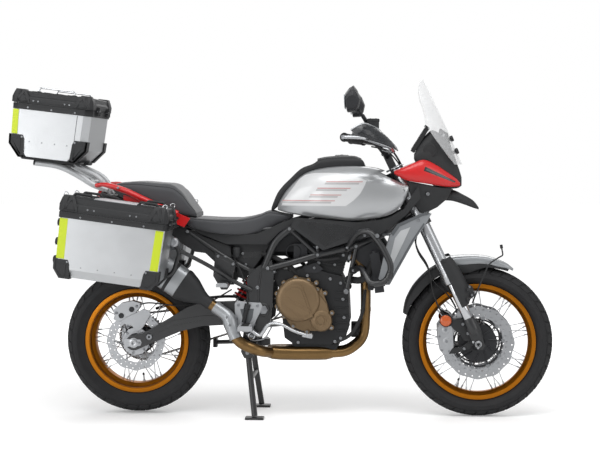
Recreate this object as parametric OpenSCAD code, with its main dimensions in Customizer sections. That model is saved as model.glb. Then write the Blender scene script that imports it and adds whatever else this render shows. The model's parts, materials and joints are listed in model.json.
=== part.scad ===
// Adventure motorcycle with hard luggage, on its centre stand.
// Millimetres. X points forward, Y to the left, Z up. The origin is on the ground
// in the middle of the length and width.

/* [Overall] */
// Distance between the wheel axles
wheelbase = 1500; // [1430:10:1600]
// Angle of the steering axis from the vertical, in degrees
rake = 25.5; // [23:0.5:28]
// Height of the rear tyre above the ground while the centre stand carries it
rear_lift = 4; // [2:1:12]

/* [Wheels] */
// Outer radius of the front tyre
front_tyre_r = 329; // [320:1:340]
// Width of the front tyre
front_tyre_w = 110; // [90:1:120]
// Outer radius of the front rim's flanges
front_rim_r = 254; // [245:1:262]
// Width of the front rim over its flanges
front_rim_w = 76; // [64:1:84]
// Outer radius of the rear tyre
rear_tyre_r = 321; // [310:1:330]
// Width of the rear tyre
rear_tyre_w = 150; // [130:1:156]
// Outer radius of the rear rim's flanges
rear_rim_r = 230; // [222:1:240]
// Width of the rear rim over its flanges
rear_rim_w = 124; // [108:1:130]
// Height of a rim's flange above the seat of the tyre
flange_h = 13; // [10:1:16]
// Radius of both wheel axles
axle_r = 10; // [8:0.5:12]
// Number of spokes in a wheel
spoke_count = 36; // [24:4:40]
// Diameter of a spoke
spoke_d = 4; // [3:0.5:5]

/* [Brakes] */
// Outer radius of the front brake discs
front_disc_r = 160; // [140:1:165]
// Outer radius of the rear brake disc
rear_disc_r = 130; // [110:1:135]
// Thickness of a brake disc
disc_t = 5; // [4:0.5:6]
// Distance of each front disc from the middle plane
front_disc_y = 68; // [66:1:70]

/* [Fork] */
// Distance between the two fork legs
fork_spacing = 204; // [200:1:214]
// Radius of the upper fork tubes
outer_tube_r = 27; // [25:0.5:28]
// Radius of the lower fork tubes
inner_tube_r = 21.5; // [20:0.5:24]
// Distance from the axle up to the end of the upper fork tubes, along the fork
outer_tube_low = 290; // [260:5:320]
// Distance from the axle up to the top of the fork, along the fork
fork_top = 842; // [820:2:870]
// Distance from the fork legs back to the steering axis
clamp_offset = 34; // [28:1:38]
// Thickness of the lower fork clamp
clamp_t = 34; // [28:1:40]

/* [Handlebar] */
// Half the length of the handlebar
bar_half = 440; // [400:5:450]
// Radius of a grip
grip_r = 17; // [15:0.5:19]
// Height of a mirror's middle above the front axle
mirror_h = 1044; // [1000:5:1080]

/* [Chassis] */
// Distance of the swingarm pivot in front of the rear axle
pivot_x = 570; // [540:5:600]
// Height of the swingarm pivot above the ground
pivot_z = 474; // [460:2:490]
// Radius of the swingarm pivot pin
pivot_pin_r = 10; // [8:0.5:12]
// Diameter of the main frame tubes
frame_tube_d = 30; // [24:1:34]
// Thickness of a pivot plate
plate_t = 14; // [10:1:16]
// Distance of the inner face of a pivot plate from the middle plane
plate_y = 126; // [124:1:130]
// Distance of the chain's middle from the middle plane
chain_y = 100; // [98:1:103]
// Pitch radius of the rear sprocket
rear_sprocket_r = 100; // [90:1:108]
// Pitch radius of the front sprocket
front_sprocket_r = 38; // [34:1:42]

/* [Stands] */
// Height of the centre stand's pivot above the ground
stand_pivot_z = 285; // [270:1:300]
// How far the centre stand's feet are in front of its pivot
stand_lead = 34; // [24:1:44]
// Distance between the outer faces of the centre stand's feet
stand_width = 380; // [340:5:400]
// Length of the side stand
side_stand_len = 268; // [250:2:285]

/* [Luggage] */
// Length of a pannier
pannier_l = 444; // [400:2:460]
// Width of a pannier
pannier_w = 236; // [200:2:240]
// Depth of a pannier below its lid
pannier_d = 272; // [240:2:290]
// Height of a pannier's lid
pannier_lid_h = 64; // [50:2:80]
// Distance of a pannier's inner face from the middle plane
pannier_in = 240; // [236:1:250]
// Nose-down tilt of the panniers, in degrees
pannier_tilt = 7.6; // [0:0.2:9]
// Length of the top case
top_case_l = 344; // [320:2:370]
// Width of the top case
top_case_w = 410; // [360:2:440]
// Depth of the top case below its lid
top_case_d = 228; // [200:2:250]
// Height of the top case's lid
top_lid_h = 56; // [44:2:70]
// Nose-down tilt of the top case, in degrees
top_case_tilt = 6.7; // [0:0.1:9]
// Wall thickness of the cases
case_wall = 4; // [3:0.5:6]
// Gap between a case and its closed lid
lid_gap = 1; // [0.5:0.5:2]

/* [Hidden] */
$fn = 48;

// Clearances
seat_gap = 0.3;      // between a piece and what carries it
bearing_gap = 0.5;   // around a shaft that turns
tyre_fit = 0.3;      // between a tyre's bead and its rim

// Places
rear_axle_z = rear_tyre_r + rear_lift;
top_case_x = -338;
top_case_z = 1355;
corner_guard_t = 6;
top_cut = 52;        // how far the top case's lower corners are cut off
pannier_cut = 34;    // the same on the panniers
rear_reach = -(top_case_x - top_case_l / 2 * cos(top_case_tilt)
    - (top_case_d - top_cut + 2.5) * sin(top_case_tilt));
rear_axle_x = (rear_reach - wheelbase - front_tyre_r) / 2;
front_axle_x = rear_axle_x + wheelbase;
fork_x = 8;
steer_x = fork_x - clamp_offset;
lower_clamp_z = 566;
upper_clamp_z = 806;
head_tube_r = 28;
stem_r = 15;
stand_pivot_x = 500;
stand_pin_r = 8;
sprocket_front = [645, 466];
pannier_seam = [-23, 885];
band_t = 4;          // how far a case's rim stands out from its wall
steering_room_r = 152;
riser_top = upper_clamp_z + 106;
riser_room_r = 78;
side_stand_pin_r = 8;
hinge_pin_r = 3;
hinge_r = 7;

// ---------- Vectors and outlines ----------

function unit(v) = v / norm(v);
function lerp(a, b, t) = a + (b - a) * t;
function arc_points(c, r, a0, a1, n) =
    [for (i = [0:n]) let (a = a0 + (a1 - a0) * i / n) c + r * [cos(a), sin(a)]];

// A path whose inner corners are rounded by quadratic bends of length r
function rounded(p, r, n = 4) = concat(
    [p[0]],
    [for (i = [1:len(p) - 2])
        let (
            a = p[i] + unit(p[i - 1] - p[i]) * min(r, norm(p[i - 1] - p[i]) / 2.1),
            b = p[i] + unit(p[i + 1] - p[i]) * min(r, norm(p[i + 1] - p[i]) / 2.1)
        )
        for (k = [0:n]) let (t = k / n) lerp(lerp(a, p[i], t), lerp(p[i], b, t), t)],
    [p[len(p) - 1]]
);

// ---------- Surfaces ----------

// A closed solid through rings of equally many points, each ring counter-clockwise
// when seen from the last ring
module skin(rings) {
    m = len(rings[0]);
    last = len(rings) - 1;
    polyhedron(
        points = [for (ring = rings) for (p = ring) p],
        faces = concat(
            [[for (k = [0:m - 1]) k]],
            [for (i = [0:last - 1]) for (k = [0:m - 1])
                [(i + 1) * m + k, (i + 1) * m + (k + 1) % m, i * m + (k + 1) % m, i * m + k]],
            [[for (k = [m - 1:-1:0]) last * m + k]]
        )
    );
}

function tangents(p) = [for (i = [0:len(p) - 1])
    unit((i < len(p) - 1 ? unit(p[i + 1] - p[i]) : [0, 0, 0])
        + (i > 0 ? unit(p[i] - p[i - 1]) : [0, 0, 0]))];
function start_normal(t) = unit(cross(t, abs(t[2]) < 0.9 ? [0, 0, 1] : [1, 0, 0]));
function normals(t, i, u) = i == len(t) ? [] :
    let (n = i == 0 ? start_normal(t[0]) : unit(u - (u * t[i]) * t[i]))
    concat([n], normals(t, i + 1, n));

// A round bar of diameter d along a path
module bar(path, d, sides = 10) {
    t = tangents(path);
    n = normals(t, 0, undef);
    skin([for (i = [0:len(path) - 1])
        [for (k = [0:sides - 1]) let (a = 360 * k / sides)
            path[i] + d / 2 * (cos(a) * n[i] + sin(a) * cross(t[i], n[i]))]]);
}

// A ring across X from the half outline on the left side, given from the bottom up
function half_ring(x, half) = concat(
    [for (p = half) [x, p[0], p[1]]],
    [for (i = [len(half) - 1:-1:0]) [x, -half[i][0], half[i][1]]]
);

// A rounded half outline: bottom z0, top z1, half width w, widest at share m of the
// height, half width at the bottom wb and at the top wt
function bulge(z0, z1, w, wb, wt, m = 0.5, n = 5) = concat(
    [for (i = [0:n]) let (a = 90 * i / n)
        [wb + (w - wb) * sin(a), z0 + (z1 - z0) * m * (1 - cos(a))]],
    [for (i = [1:n]) let (a = 90 * i / n)
        [wt + (w - wt) * cos(a), z0 + (z1 - z0) * (m + (1 - m) * sin(a))]]
);

// Both sides of the machine
module both_sides() {
    children();
    mirror([0, 1, 0]) children();
}

// Frames of reference: from the rear axle's place on the ground, and from the
// front axle with Z along the fork
module bike() translate([rear_axle_x, 0, 0]) children();
module fork() translate([front_axle_x, 0, front_tyre_r]) rotate([0, -rake, 0]) children();
module side_plate(y, t) translate([0, y, 0]) rotate([90, 0, 0])
    translate([0, 0, -t]) linear_extrude(t) children();
// A flat piece between y0 and y1 with this outline in side view
module panel(outline, y0, y1) side_plate(y0, y1 - y0) polygon(outline);
module rod_y(x, z, r, y0, y1) translate([x, y1, z]) rotate([90, 0, 0]) cylinder(r = r, h = y1 - y0);
module rear_wheel() translate([rear_axle_x, 0, rear_axle_z]) rotate([90, 0, 0]) children();
module front_wheel() translate([front_axle_x, 0, front_tyre_r]) rotate([90, 0, 0]) children();

// ---------- Wheels ----------

module tyre(r, w, rim_r, rim_w) {
    seat = rim_r - flange_h + tyre_fit;
    bead = rim_w / 2 - 7 - tyre_fit;
    mid = (seat + r) / 2;
    half = (r - seat) / 2;
    rotate_extrude($fn = 96) polygon(concat(
        [[rim_r + 2, -bead], [seat, -bead], [seat, bead], [rim_r + 2, bead]],
        [for (a = [120:-20:-120]) [mid + half * cos(a), w / 2 * sin(a)]]
    ));
}

module rim(r, w, depth) {
    seat = r - flange_h;
    rotate_extrude($fn = 96) polygon([
        [r, -w / 2], [r, -w / 2 + 5], [seat, -w / 2 + 7], [seat - 3, -w / 4],
        [seat - depth + 7, -w / 5], [seat - depth + 7, w / 5], [seat - 3, w / 4],
        [seat, w / 2 - 7], [r, w / 2 - 5], [r, w / 2], [seat - 6, w / 2],
        [seat - depth, w / 5], [seat - depth, -w / 5], [seat - 6, -w / 2]
    ]);
}

// One spoke from the hub flange to the rim
module spoke(a, lean, hub_r, hub_y, rim_r, rim_y) {
    p = [hub_r * cos(a), hub_r * sin(a), hub_y];
    q = [rim_r * cos(a + lean), rim_r * sin(a + lean), rim_y];
    bar([p, q], spoke_d, 6);
}

module spokes(hub_r, hub_y, rim_r, rim_y) {
    per_set = spoke_count / 4;
    step = 360 / per_set;
    for (i = [0:per_set - 1]) {
        spoke(i * step, 48, hub_r, hub_y + 4, rim_r, rim_y);
        spoke(i * step + step / 2, -48, hub_r, hub_y - 4, rim_r, rim_y);
        spoke(i * step + step / 4, 48, hub_r, -hub_y - 4, rim_r, -rim_y);
        spoke(i * step + step * 3 / 4, -48, hub_r, -hub_y + 4, rim_r, -rim_y);
    }
}

// Outline of a petal disc
module petal_disc(r, inner, petals, wave) {
    difference() {
        polygon([for (i = [0:petals * 8 - 1]) let (a = 360 * i / (petals * 8))
            (r - wave / 2 + wave / 2 * cos(petals * a)) * [cos(a), sin(a)]]);
        circle(r = inner);
    }
}

module front_tyre() color("#1c1c1e") front_wheel()
    tyre(front_tyre_r, front_tyre_w, front_rim_r, front_rim_w);
module rear_tyre() color("#1c1c1e") rear_wheel()
    tyre(rear_tyre_r, rear_tyre_w, rear_rim_r, rear_rim_w);

front_rim_depth = 20;
rear_rim_depth = 27;
module front_rim() color("#d08a1e") front_wheel()
    rim(front_rim_r, front_rim_w, front_rim_depth);
module rear_rim() color("#d08a1e") rear_wheel()
    rim(rear_rim_r, rear_rim_w, rear_rim_depth);

module front_hub() {
    end = front_disc_y - disc_t / 2;
    inner = front_rim_r - flange_h - front_rim_depth;
    color("#2a2a2c") front_wheel() difference() {
        union() {
            cylinder(r = 24, h = 2 * end, center = true);
            for (s = [-1, 1]) translate([0, 0, s * 32]) cylinder(r = 56, h = 10, center = true);
            for (s = [-1, 1]) translate([0, 0, s * (end - 6)]) cylinder(r = 46, h = 12, center = true);
            spokes(50, 32, inner + 0.4, 8);
        }
        cylinder(r = axle_r + bearing_gap, h = 300, center = true);
    }
}

rear_disc_y = 82;
sprocket_t = 8;
rear_hub_right = rear_disc_y - disc_t / 2;
rear_hub_left = chain_y - sprocket_t / 2;
module rear_hub() {
    inner = rear_rim_r - flange_h - rear_rim_depth;
    color("#2a2a2c") rear_wheel() difference() {
        union() {
            translate([0, 0, -rear_hub_left]) cylinder(r = 30, h = rear_hub_left + rear_hub_right);
            for (s = [-1, 1]) translate([0, 0, s * 36]) cylinder(r = 66, h = 10, center = true);
            translate([0, 0, rear_hub_right - 12]) cylinder(r = 48, h = 12);
            translate([0, 0, -rear_hub_left]) cylinder(r = 62, h = 18);
            spokes(60, 36, inner + 0.4, 12);
        }
        cylinder(r = axle_r + bearing_gap, h = 300, center = true);
    }
}

module brake_disc(r, carrier_r, inner) {
    linear_extrude(disc_t) {
        petal_disc(r, carrier_r + 4, 12, 8);
        difference() {
            circle(r = carrier_r);
            circle(r = inner);
            for (i = [0:4]) rotate(72 * i) translate([carrier_r * 0.72, 0]) circle(r = carrier_r * 0.16);
        }
        for (i = [0:9]) rotate(36 * i + 18) translate([carrier_r + 2, 0]) circle(r = 7, $fn = 12);
    }
}

module front_discs() color("#b9bcc0") front_wheel() for (s = [-1, 1])
    translate([0, 0, s * front_disc_y - disc_t / 2]) brake_disc(front_disc_r, 92, 30);
module rear_disc() color("#b9bcc0") rear_wheel()
    translate([0, 0, rear_disc_y - disc_t / 2]) brake_disc(rear_disc_r, 70, 34);

module rear_sprocket() {
    teeth = 42;
    color("#5a5c60") rear_wheel() translate([0, 0, -chain_y - 4]) linear_extrude(8) difference() {
        polygon([for (i = [0:teeth * 4 - 1]) let (a = 90 * i / teeth)
            (rear_sprocket_r - 6 + 2 * cos(teeth * a)) * [cos(a), sin(a)]]);
        circle(r = 34);
        for (i = [0:4]) rotate(72 * i) translate([66, 0]) circle(r = 14);
    }
}

// ---------- Swingarm and drive ----------

arm_y = 138;         // outer face of the swingarm behind the pivot plates
arm_left_in = chain_y + 11;
arm_right_in = 100;
pivot_fit = 1.4;     // between the swingarm and a pivot plate
bobbin_r = 4;
bobbin_depth = 14;
bobbin_x = 70;
bobbin_z = 352;

// One side of the swingarm: outline and its inner face
module arm(outline, y_in) {
    difference() {
        panel(outline, y_in, arm_y);
        translate([458, y_in - 1, 300]) cube([300, 100, 300]);
    }
    panel(outline, y_in, plate_y - pivot_fit);
}

right_arm = concat(
    arc_points([0, rear_axle_z], 34, 120, 300, 8),
    [[105, 334], [211, 378], [300, 400], [430, 408], [pivot_x, pivot_z - 30]],
    arc_points([pivot_x, pivot_z], 30, -60, 90, 5),
    [[430, 504], [302, 469], [161, 439], [40, 366]]
);
left_arm = concat(
    arc_points([0, rear_axle_z], 32, 100, 290, 8),
    [[200, 358], [400, 408], [pivot_x, pivot_z - 30]],
    arc_points([pivot_x, pivot_z], 30, -60, 90, 5),
    [[400, 472], [200, 416]]
);

module swingarm() color("#242426") bike() difference() {
    union() {
        mirror([0, 1, 0]) arm(right_arm, arm_right_in);
        arm(left_arm, arm_left_in);
        translate([395, -arm_right_in - 2, 412]) cube([60, 2 * arm_right_in - 30, 56]);
        translate([395, arm_right_in - 34, 418]) cube([60, 48, 36]);
        rod_y(pivot_x, pivot_z, 24, -arm_right_in - 2, 80);
        rod_y(pivot_x, pivot_z, 16, 78, arm_left_in + 2);
    }
    rod_y(pivot_x, pivot_z, pivot_pin_r + seat_gap, -150, 150);
    rod_y(0, rear_axle_z, axle_r + seat_gap, -150, 150);
    for (s = [-1, 1]) rod_y(bobbin_x, bobbin_z, bobbin_r, s > 0 ? arm_y - bobbin_depth : -arm_y - 1,
        s > 0 ? arm_y + 1 : -arm_y + bobbin_depth);
}

module rear_axle() color("#c9ccd0") bike() {
    end = arm_y + 13;
    rod_y(0, rear_axle_z, axle_r, -end, end);
    for (s = [-1, 1]) rod_y(0, rear_axle_z, 17, s > 0 ? arm_y + seat_gap : -end,
        s > 0 ? end : -arm_y - seat_gap);
    rod_y(0, rear_axle_z, 15, -arm_right_in + seat_gap, -rear_disc_y - disc_t / 2 - 1);
    rod_y(0, rear_axle_z, 15, chain_y + sprocket_t / 2 + 1, arm_left_in - seat_gap);
}

// Outline of a belt round two circles, front circle at p
function belt(p, r_rear, r_front) =
    let (d = norm(p), base = atan2(p[1], p[0]), lean = acos((r_rear - r_front) / d))
    concat(arc_points([0, 0], r_rear, base + lean, base + 360 - lean, 40),
        arc_points(p, r_front, base - lean, base + lean, 16));

module drive_chain() {
    p = [sprocket_front[0], sprocket_front[1] - rear_axle_z];
    color("#6b6457") bike() translate([0, 0, rear_axle_z]) side_plate(chain_y - 8, 16) difference() {
        polygon(belt(p, rear_sprocket_r + 8, front_sprocket_r + 8));
        polygon(belt(p, rear_sprocket_r - 2, front_sprocket_r - 2));
    }
}

module rear_shock() color("#3a3a3e") bike() {
    low = [425, 0, 468];
    top = [608.5, 0, 757.5];
    reach = norm(top - low);
    translate(low) rotate([0, atan2(top[0] - low[0], top[2] - low[2]), 0])
        translate([0, 0, 40]) cylinder(r = 36, h = 160);
    difference() {
        translate(low) rotate([0, atan2(top[0] - low[0], top[2] - low[2]), 0])
            cylinder(r = 20, h = reach);
        translate([350, -50, 400]) cube([150, 100, 68 + seat_gap]);
        rod_y(618, 768, 11 + seat_gap, -50, 50);
    }
}

// ---------- Frame ----------

module pivot_plate() panel([
    [498, 610], [548, 664], [606, 690], [616, 640], [610, 500], [600, 420], [552, 380], [536, 300],
    [520, 262], [486, 262], [472, 290], [486, 400], [520, 452], [506, 520]
], plate_y, plate_y + plate_t);

head_x = wheelbase - 350;
tank_floor = 897.7;    // where the fuel tank rests on the frame
upper_rail = rounded([[head_x + 8, 20, 975], [1000, 104, 900], [800, 112, 858], [684, 126, 826],
    [618, 133, 768], [572, 133, 655]], 40);
lower_rail = rounded([[head_x + 50, 20, 890], [1085, 104, 800], [972, 126, 752], [806, 130, 714],
    [695, 133, 680], [600, 133, 655]], 40);
engine_hanger = [[974, 129, 752], [930, 128.2, 556]];
engine_bolt = [618, 640];
engine_bolt_r = 8;
cross_tubes = [[684, 826, 126], [618, 768, 130], [972, 752, 126], [604, 600, 128]];

module main_frame() color("#26272a") difference() {
    union() {
        fork() translate([steer_x, 0, lower_clamp_z + clamp_t + 4])
            cylinder(r = head_tube_r, h = upper_clamp_z - lower_clamp_z - clamp_t - 8);
        bike() {
            both_sides() {
                bar(upper_rail, frame_tube_d);
                bar(lower_rail, frame_tube_d);
                bar([[1000, 104, 900], [1085, 104, 800]], 22, 8);
                bar([[684, 126, 826], [806, 130, 714]], 22, 8);
                bar([[800, 112, 858], [806, 130, 714]], 18, 8);
                bar(engine_hanger, 20, 8);
                pivot_plate();
            }
            for (p = cross_tubes) rod_y(p[0], p[1], 11, -p[2], p[2]);
            for (s = [-1, 1]) translate([800, s * 107 - 7, 858]) cube([36, 14, tank_floor - 858]);
            rod_y(engine_bolt[0], engine_bolt[1], engine_bolt_r, -130, 130);
            rod_y(pivot_x, pivot_z, pivot_pin_r, -plate_y - plate_t, plate_y + plate_t);
            rod_y(stand_pivot_x, stand_pivot_z, stand_pin_r, -plate_y - plate_t, plate_y + plate_t);
            translate([530, plate_y, 282]) cube([48, 30, 36]);
            side_stand_axis() cylinder(r = side_stand_pin_r, h = 60, center = true);
        }
    }
    fork() translate([steer_x, 0, lower_clamp_z]) cylinder(r = stem_r + 1, h = 400);
}

seat_rail = rounded([[672, 84, 827], [440, 96, 812], [220, 100, 832], [0, 92, 928],
    [-150, 84, 974]], 60);
seat_rail_d = 25;
rail_rods = [[440, 812], [220, 834], [-60, 946], [-112, 962], [-140, 971]];
module subframe() color("#26272a") bike() {
    both_sides() {
        bar(seat_rail, seat_rail_d);
        bar(rounded([[530, plate_y - 11.3, 632], [400, 110, 700], [200, 100, 834]], 40), 22);
    }
    for (p = rail_rods) rod_y(p[0], p[1], 9, -92, 92);
}

// ---------- Engine ----------

// Foot of the cylinder block and its lean forwards
head_base = [830, 640];
head_tilt = 14;
function head_point(u, v) = head_base + u * [cos(head_tilt), -sin(head_tilt)]
    + v * [sin(head_tilt), cos(head_tilt)];

module engine_block() color("#1f2022") bike() {
    difference() {
        panel([
            [652, 420], [640, 560], [604, 626], [604, 654], [630, 656], [690, 640],
            head_point(-80, -seat_gap), head_point(80, -seat_gap), [936, 560],
            [944, 420], [925, 345], [860, 322], [700, 322], [660, 350]
        ], -118, 118);
        translate([590, chain_y - 12, 410]) cube([112, 60, 114]);
        rod_y(engine_bolt[0], engine_bolt[1], engine_bolt_r + seat_gap, -120, 120);
    }
    rod_y(sprocket_front[0], sprocket_front[1], front_sprocket_r - 2.5, chain_y - 4, chain_y + 4);
    rod_y(sprocket_front[0], sprocket_front[1], 14, chain_y - 14, chain_y + 4);
}

module cover(y, flip) translate([0, y, 0]) rotate([90, 0, 0]) mirror([0, 0, flip]) {
    translate([721, 519, 0]) cylinder(r = 97, h = 46);
    translate([721, 519, 46]) cylinder(r = 74, h = 12);
    translate([821, 432, 0]) cylinder(r = 48, h = 44);
    translate([0, 0, 0]) linear_extrude(34)
        polygon([[640, 430], [721, 400], [800, 380], [868, 420], [868, 560], [790, 610], [660, 590]]);
}
module engine_covers() color("#9a6b3e") bike() {
    cover(-118, 0);
    cover(118, 1);
}

module cylinder_head() color("#1a1b1d") bike()
    translate([head_base[0], 0, head_base[1]]) rotate([0, head_tilt, 0]) {
        translate([-78, -96, 0]) cube([156, 192, 60]);
        translate([-86, -104, 62]) cube([172, 208, 56]);
        translate([-74, -98, 118]) cube([148, 196, 30]);
        translate([-80, -90, 55]) cube([160, 180, 10]);
    }

module radiator() color("#202124") bike() difference() {
    union() {
        translate([1076, 0, 548]) rotate([0, -8, 0]) {
            translate([-16, -146, 0]) cube([32, 292, 184]);
            for (s = [-1, 1]) translate([-20, s * 152 - 12, 6]) cube([40, 24, 172]);
        }
        both_sides() bar([[1051, 106, 724], [1056, 106, 796]], 14, 8);
    }
    both_sides() bar(lower_rail, frame_tube_d + 2 * seat_gap);
}

header_r = 21;
module exhaust_pipe() color("#a8844a") bike() {
    port = head_point(86 + seat_gap, 90);
    bend = head_point(130, 90);
    for (s = [-1, 1])
        bar(rounded([[port[0], s * 52, port[1]], [bend[0], s * 52, bend[1]], [1010, s * 50, 640],
            [1012, s * 50, 480], [1006, s * 46, 340], [930, s * 40 - 30, 284],
            [860, s * 36 - 40, 280]], 50, 5), 2 * header_r, 12);
    translate([578, -118, 246]) cube([300, 150, 68]);
    bar(rounded([[600, -96, 284], [552, -184, 300], [452, -184, 342], [423.3, -164.8, 446],
        silencer_start + [0.6, 0, -0.4]], 50, 5), 50, 12);
}

silencer_start = [344, -164, 500];
silencer_end = [-70, -160, 782];
module silencer() {
    d = silencer_end - silencer_start;
    t = unit(d);
    color("#b5b7ba") bike() difference() {
        union() {
            skin([for (k = [[0, 26, 26], [0.06, 26, 26], [0.22, 44, 62], [0.3, 50, 72],
                    [0.9, 50, 72], [1, 38, 56]])
                [for (a = [0:22.5:337.5])
                    silencer_start + d * k[0] + k[1] * cos(a) * [0, 1, 0]
                        + k[2] * sin(a) * cross(t, [0, 1, 0])]]);
        }
        translate(silencer_end) rotate([0, atan2(d[0], d[2]), 0])
            translate([0, 0, -30]) cylinder(r = 22, h = 60);
    }
}

// ---------- Tank, seats and panels ----------

tank_sections = [
    // x, bottom, top, half width, half width below, half width on top, widest at
    [628, 905, 930, 78, 70, 60, 0.5],
    [665, 895, 985, 104, 92, 56, 0.4],
    [740, 882, 1050, 138, 118, 62, 0.42],
    [830, 872, 1088, 160, 134, 80, 0.45],
    [950, 862, 1098, 178, 146, 96, 0.5],
    [1050, 872, 1090, 184, 150, 104, 0.5],
    [1120, 890, 1066, 178, 150, 104, 0.5],
    [1170, 925, 1042, 162, 146, 110, 0.5],
    [1204, 985, 1026, 140, 134, 118, 0.5]
];
module fuel_tank() color("#b7b9bc") bike() difference() {
    skin([for (s = tank_sections) half_ring(s[0], bulge(s[1], s[2], s[3], s[4], s[5], s[6]))]);
    translate([600, -60, 780]) cube([700, 120, 200]);
    translate([860, -124, 780]) cube([440, 248, 150]);
    translate([980, -96, 780]) cube([320, 192, 220]);
    translate([600, -130, 780]) cube([640, 260, tank_floor + seat_gap - 780]);
    skin([for (s = cover_sections) half_ring(s[0],
        bulge(s[1] - seat_gap, s[2] + seat_gap, s[3] + 1, s[3] - 3, s[4] + 1, 0.6, 3))]);
    skin([for (s = cover_sections) half_ring(s[0] + (s[0] > 1000 ? 20 : 0),
        bulge(s[1] - seat_gap, s[2] + 60, s[3] + seat_gap, s[3] - 3, s[3], 0.6, 3))]);
    steering_room(850);
    steering_room(riser_top, riser_room_r);
}

// The room that the fork and what it carries sweep, up to a height along the fork
module steering_room(top, r = steering_room_r) translate([-rear_axle_x, 0, 0]) fork()
    translate([steer_x, 0, 500]) cylinder(r = r, h = top - 500);

cover_sections = [
    [592, 908, 922, 70, 56], [622, 960, 985, 62, 50], [678, 1000, 1062, 60, 48],
    [728, 1040, 1106, 62, 50], [806, 1080, 1130, 66, 54], [900, 1085, 1135, 68, 56],
    [984, 1085, 1130, 68, 56], [1008, 1080, 1098, 60, 50]
];
module tank_cover() color("#232427") bike()
    skin([for (s = cover_sections) half_ring(s[0], bulge(s[1], s[2], s[3], s[3] - 4, s[4], 0.6, 3))]);

rider_sections = [
    [226, 846, 874, 120, 100], [280, 822, 872, 142, 118], [380, 804, 869, 150, 124],
    [470, 800, 871, 138, 110], [540, 806, 886, 116, 86], [590, 826, 904, 96, 66],
    [636, 850, 893, 84, 58], [686, 868, 884, 74, 56]
];
module rider_seat() color("#333437") bike() difference() {
    skin([for (s = rider_sections) half_ring(s[0], bulge(s[1], s[2], s[3], s[3] - 10, s[4], 0.7))]);
    both_sides() bar(seat_rail, seat_rail_d + 2 * seat_gap);
    for (p = rail_rods) rod_y(p[0], p[1], 9 + seat_gap, -100, 100);
    translate([600, -100, 800]) cube([100, 200, 48]);
}

passenger_sections = [
    [-98, 990, 1012, 84, 70], [-60, 962, 1026, 112, 90], [20, 930, 1031, 128, 100],
    [100, 908, 1024, 134, 106], [180, 890, 1011, 136, 108], [240, 880, 976, 130, 104],
    [276, 878, 920, 116, 96]
];
module passenger_seat() color("#333437") bike() difference() {
    skin([for (s = passenger_sections) half_ring(s[0], bulge(s[1], s[2], s[3], s[3] - 12, s[4], 0.6))]);
    both_sides() bar(seat_rail, seat_rail_d + 2 * seat_gap);
}

module side_panels() color("#1d1e20") bike() both_sides() difference() {
    side_panel_solids();
    bar(crash_bar_path, crash_bar_d + 8);
    bar(upper_rail, frame_tube_d + 2 * seat_gap);
}
module side_panel_solids() {
    panel([[300, 808], [400, 770], [560, 756], [596, 798], [560, 798], [470, 799.2], [380, 799.2]],
        92, 124);
    panel([[690, 838], [716, 874], [975, 846], [1080, 868], [1120, 880], [1180, 916], [1214, 978],
        [1240, 1010], [1250, 960], [1190, 890], [1090, 812], [972, 772], [830, 735]], 158, 166);
    for (p = [[800, 858], [1000, 846]]) rod_y(p[0], p[1], 7, 112, 160);
}

shroud_outline = [[1118, 800], [1150, 846], [1250, 893], [1296, 896], [1271, 852], [1226, 785],
    [1118, 590], [1092, 590], [1070, 616], [1096, 729]];
module side_shrouds() color("#8c8f93") bike() both_sides() {
    panel(shroud_outline, 178, 190);
    difference() {
        bar([[1136, 182, 806], [1088, 112, 802]], 12, 8);
        bar(lower_rail, frame_tube_d + 2 * seat_gap);
    }
}

nose_sections = [
    // x, bottom, top, half width
    [1136, 1064, 1078, 172], [1180, 1040, 1096, 178], [1220, 1030, 1112, 176],
    [1262, 1024, 1126, 166], [1310, 1016, 1106, 146], [1360, 1008, 1074, 120],
    [1400, 1008, 1046, 92], [1420, 1012, 1026, 74]
];
module nose_panels() color("#d81f1a") bike() difference() {
    skin([for (s = nose_sections)
        half_ring(s[0], bulge(s[1], s[2], s[3], s[3] - 22, s[3] - 26, 0.5, 3))]);
    skin([for (s = nose_sections)
        half_ring(s[0] + (s[0] < 1150 ? -20 : 0) + (s[0] > 1410 ? 20 : 0),
            bulge(s[1] - 60, s[2] + 60, s[3] - 20, s[3] - 24, s[3] - 24, 0.5, 3))]);
    steering_room(850);
}

cowl_sections = [
    [1222, 1128, 1150, 112, 96], [1256, 1060, 1210, 116, 70], [1288, 1030, 1250, 116, 58],
    [1310, 1010, 1252, 108, 56], [1350, 1000, 1220, 92, 54], [1382, 998, 1178, 70, 48],
    [1412, 1002, 1098, 54, 38], [1428, 1012, 1050, 42, 30]
];
dash_place = [1246, 0, 1212];
dash_tilt = 32;
dash_t = 18;
module front_cowl() color("#2b2c2f") {
    bike() difference() {
        skin([for (s = cowl_sections)
            half_ring(s[0], bulge(s[1], s[2], s[3], s[3] - 14, s[4], 0.4, 3))]);
        translate(dash_place) rotate([0, dash_tilt, 0]) translate([-300, -200, -66])
            cube([300 + dash_t / 2 + seat_gap, 400, 200]);
        steering_room(850);
    }
    bike() for (p = [[1290, 1067, 131], [1370, 1035, 87]]) rod_y(p[0], p[1], 7, -p[2], p[2]);
    bike() screen_posts(screen_post_r);
    fork() translate([steer_x + head_tube_r + seat_gap, -20, 714]) cube([130, 40, 28]);
}

// Posts of the front cowl that pass through the windscreen's lower holes
screen_post_r = 5;
module screen_posts(r) for (y = [-40, 40])
    translate([1366, y, 1150]) rotate([0, 90, 0]) cylinder(r = r, h = 46);

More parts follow.
